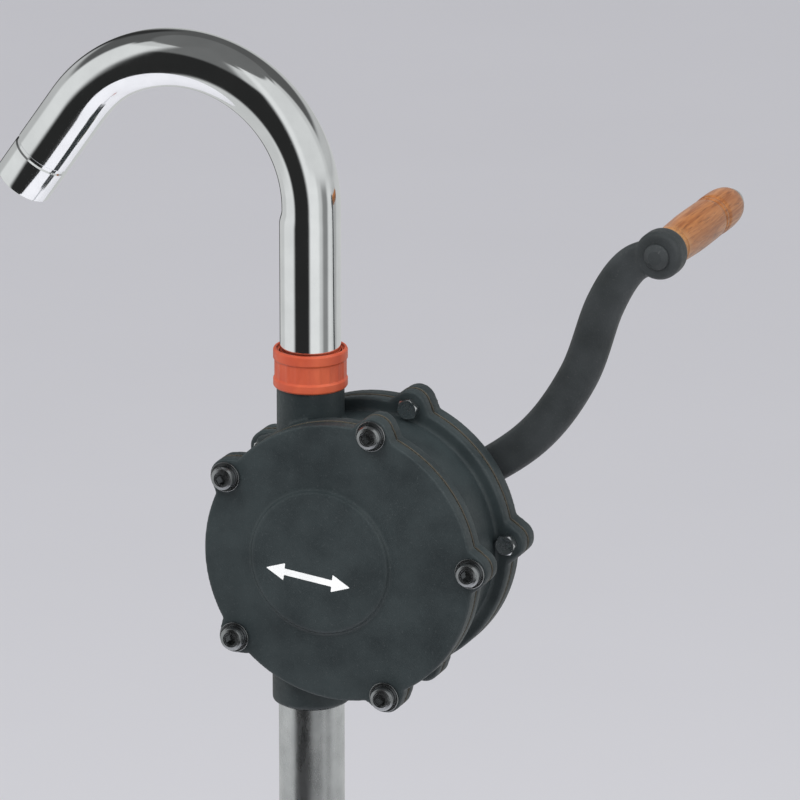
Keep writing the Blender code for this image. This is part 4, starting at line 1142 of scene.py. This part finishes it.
def make_camera():
    """A long lens at the photograph's viewing angle."""
    back = direction(AZIMUTH_DEG, ELEVATION_DEG)
    right = direction(AZIMUTH_DEG + 90, 0)
    up = direction(AZIMUTH_DEG + 180, 90 - ELEVATION_DEG)
    front_face = Vector((BODY_X, FRONT_FACE_Y, BODY_Z))
    aim = front_face + right * AIM_RIGHT + up * AIM_UP
    data = bpy.data.cameras.new("camera")
    data.lens = LENS
    data.clip_end = 100.0
    camera = added("camera", data)
    aimed(camera, aim, back, CAMERA_DISTANCE)
    bpy.context.scene.camera = camera


def stage_object(name, bm, material, glossy_only=False):
    """Add a part of the studio, which is no part of the pump."""
    mesh = mesh_of(bm)
    mesh.materials.append(material)
    obj = added(name, mesh)
    if glossy_only:
        obj.visible_camera = obj.visible_diffuse = False
        obj.visible_shadow = obj.visible_transmission = False
    return obj


# Panels hung on the reflecting screen, later ones over earlier ones. Each has its middle and half its
# width in degrees from the camera's side, its lowest and highest edge, and its brightness.
SCREEN_LEVEL = 0.58
SCREEN_PANELS = {
    "back_shade": (180, 78, 1050, 9000, 0.10),
    "back_board": (180, 84, 1000, 1560, 0.50),
    "dim_ceiling": (0, 180, 3300, 9000, 0.15),
    "left_board": (-88, 24, 380, 2700, 0.74),
    "right_board": (18, 18, 300, 3900, 0.80),
    "right_gap": (62, 13, 150, 1000, 0.24),
    "side_board": (80, 9, 300, 1000, 0.70),
    "side_gap": (106, 9, 300, 900, 0.40),
    "high_board": (50, 34, 1100, 3900, 0.68),
    "grey_flag": (-38, 22, 1200, 9000, 0.16),
    "black_flag": (-31, 29, -900, 2050, 0.022),
    "low_mat": (12, 28, -900, 260, 0.06),
    "back_strip": (-163, 9, 300, 2200, 0.03),
}
PANEL_EDGE_DEG = 11.0
PANEL_EDGE = 260.0


def screen_glow(angle, height):
    """The screen's brightness at this angle from the camera's side and this height."""
    level = SCREEN_LEVEL
    for centre, half, low, high, brightness in SCREEN_PANELS.values():
        aside = abs((angle - centre + 180) % 360 - 180)
        weight = eased((half - aside) / PANEL_EDGE_DEG + 0.5) if half < 180 else 1.0
        weight *= eased((height - low) / PANEL_EDGE + 0.5) * eased((high - height) / PANEL_EDGE + 0.5)
        level += (brightness - level) * weight
    return level


def make_screen(radius=1500.0, low=-470.0, high=5200.0, columns=180, rows=72):
    """A round screen with a lid, seen only in reflections, which gives polished parts their bands."""
    rings, glow = [], []
    for j in range(rows + 1):
        height = low + (high - low) * j / rows
        ring = []
        for i in range(columns):
            angle = -180 + 360 * i / columns
            turn = math.radians(AZIMUTH_DEG + angle)
            ring.append((radius * math.sin(turn), -radius * math.cos(turn), height))
            glow.append(screen_glow(angle, height))
        rings.append(ring)
    bm = skin(rings + [[(0, 0, high)]])
    look = Look("screen_glow", Roughness=1.0, Specular_IOR_Level=0.0)
    look.shader.inputs["Base Color"].default_value = (0, 0, 0, 1)
    look.shader.inputs["Emission Color"].default_value = (0.98, 1.0, 0.99, 1)
    level = look.node("Attribute", {}, attribute_name="glow")
    look.links.new(level.outputs["Fac"], look.shader.inputs["Emission Strength"])
    screen = stage_object("reflecting_screen", bm, look.material, glossy_only=True)
    attribute = screen.data.attributes.new("glow", "FLOAT", "POINT")
    for entry, value in zip(attribute.data, glow + [screen_glow(0, high)]):
        entry.value = value


def area_light(name, azimuth_deg, elevation_deg, distance, size, power, aim):
    """A square softbox at an angle from the camera's side, turned to the aim point."""
    data = bpy.data.lights.new(name, "AREA")
    data.energy = power
    data.size = size * MM
    light = added(name, data)
    aimed(light, aim, direction(AZIMUTH_DEG + azimuth_deg, elevation_deg), distance)
    light.visible_glossy = False


def make_studio():
    """A pale floor and backdrop, soft lights, and the screen for reflections."""
    floor_z = span("strainer_ring")[0].z - 0.5
    floor = bmesh.new()
    reach = 40000.0
    corners = [(-reach, -reach), (reach, -reach), (reach, reach), (-reach, reach)]
    floor.faces.new([floor.verts.new((x, y, floor_z)) for x, y in corners])
    paint = Look("floor_paint", Specular_IOR_Level=0.1, Roughness=0.9)
    paint.colour(paint.mixed(paint.noise(300.0), (0.7954, 0.7954, 0.8148), (0.82, 0.82, 0.84)))
    stage_object("floor", floor, paint.material)

    world = bpy.data.worlds.new("studio")
    world.use_nodes = True
    background = world.node_tree.nodes["Background"]
    background.inputs["Color"].default_value = (0.565, 0.565, 0.59, 1.0)
    background.inputs["Strength"].default_value = 1.08
    bpy.context.scene.world = world

    make_screen()
    aim = Vector((BODY_X, 0, BODY_Z + 100))
    area_light("key", -48, 48, 2200, 1200, 34, aim)
    area_light("fill", 60, 30, 2400, 1400, 17, aim)
    area_light("front", -6, 6, 2600, 1000, 9, aim)
    area_light("top", 150, 70, 2200, 1500, 26, aim)
    bpy.context.scene.view_settings.view_transform = "Standard"


def paint_cad_nodes():
    """Give every CAD node that stays in view its own procedural material."""
    for node, obj in frame["nodes"].items():
        for slot in obj.material_slots:
            slot.material = LOOKS[SLOT_OF[node]]


make_camera()
make_studio()
paint_cad_nodes()
make_pump_body()
make_front_cover()
make_rear_cover()
make_gaskets()
make_front_screws()
make_rear_bolts()
make_mark()
make_crank_arm()
make_shaft()
make_shaft_nuts()
make_handle()
make_spout()
make_union_nut()
make_pipes()
make_strainer()
make_bung()
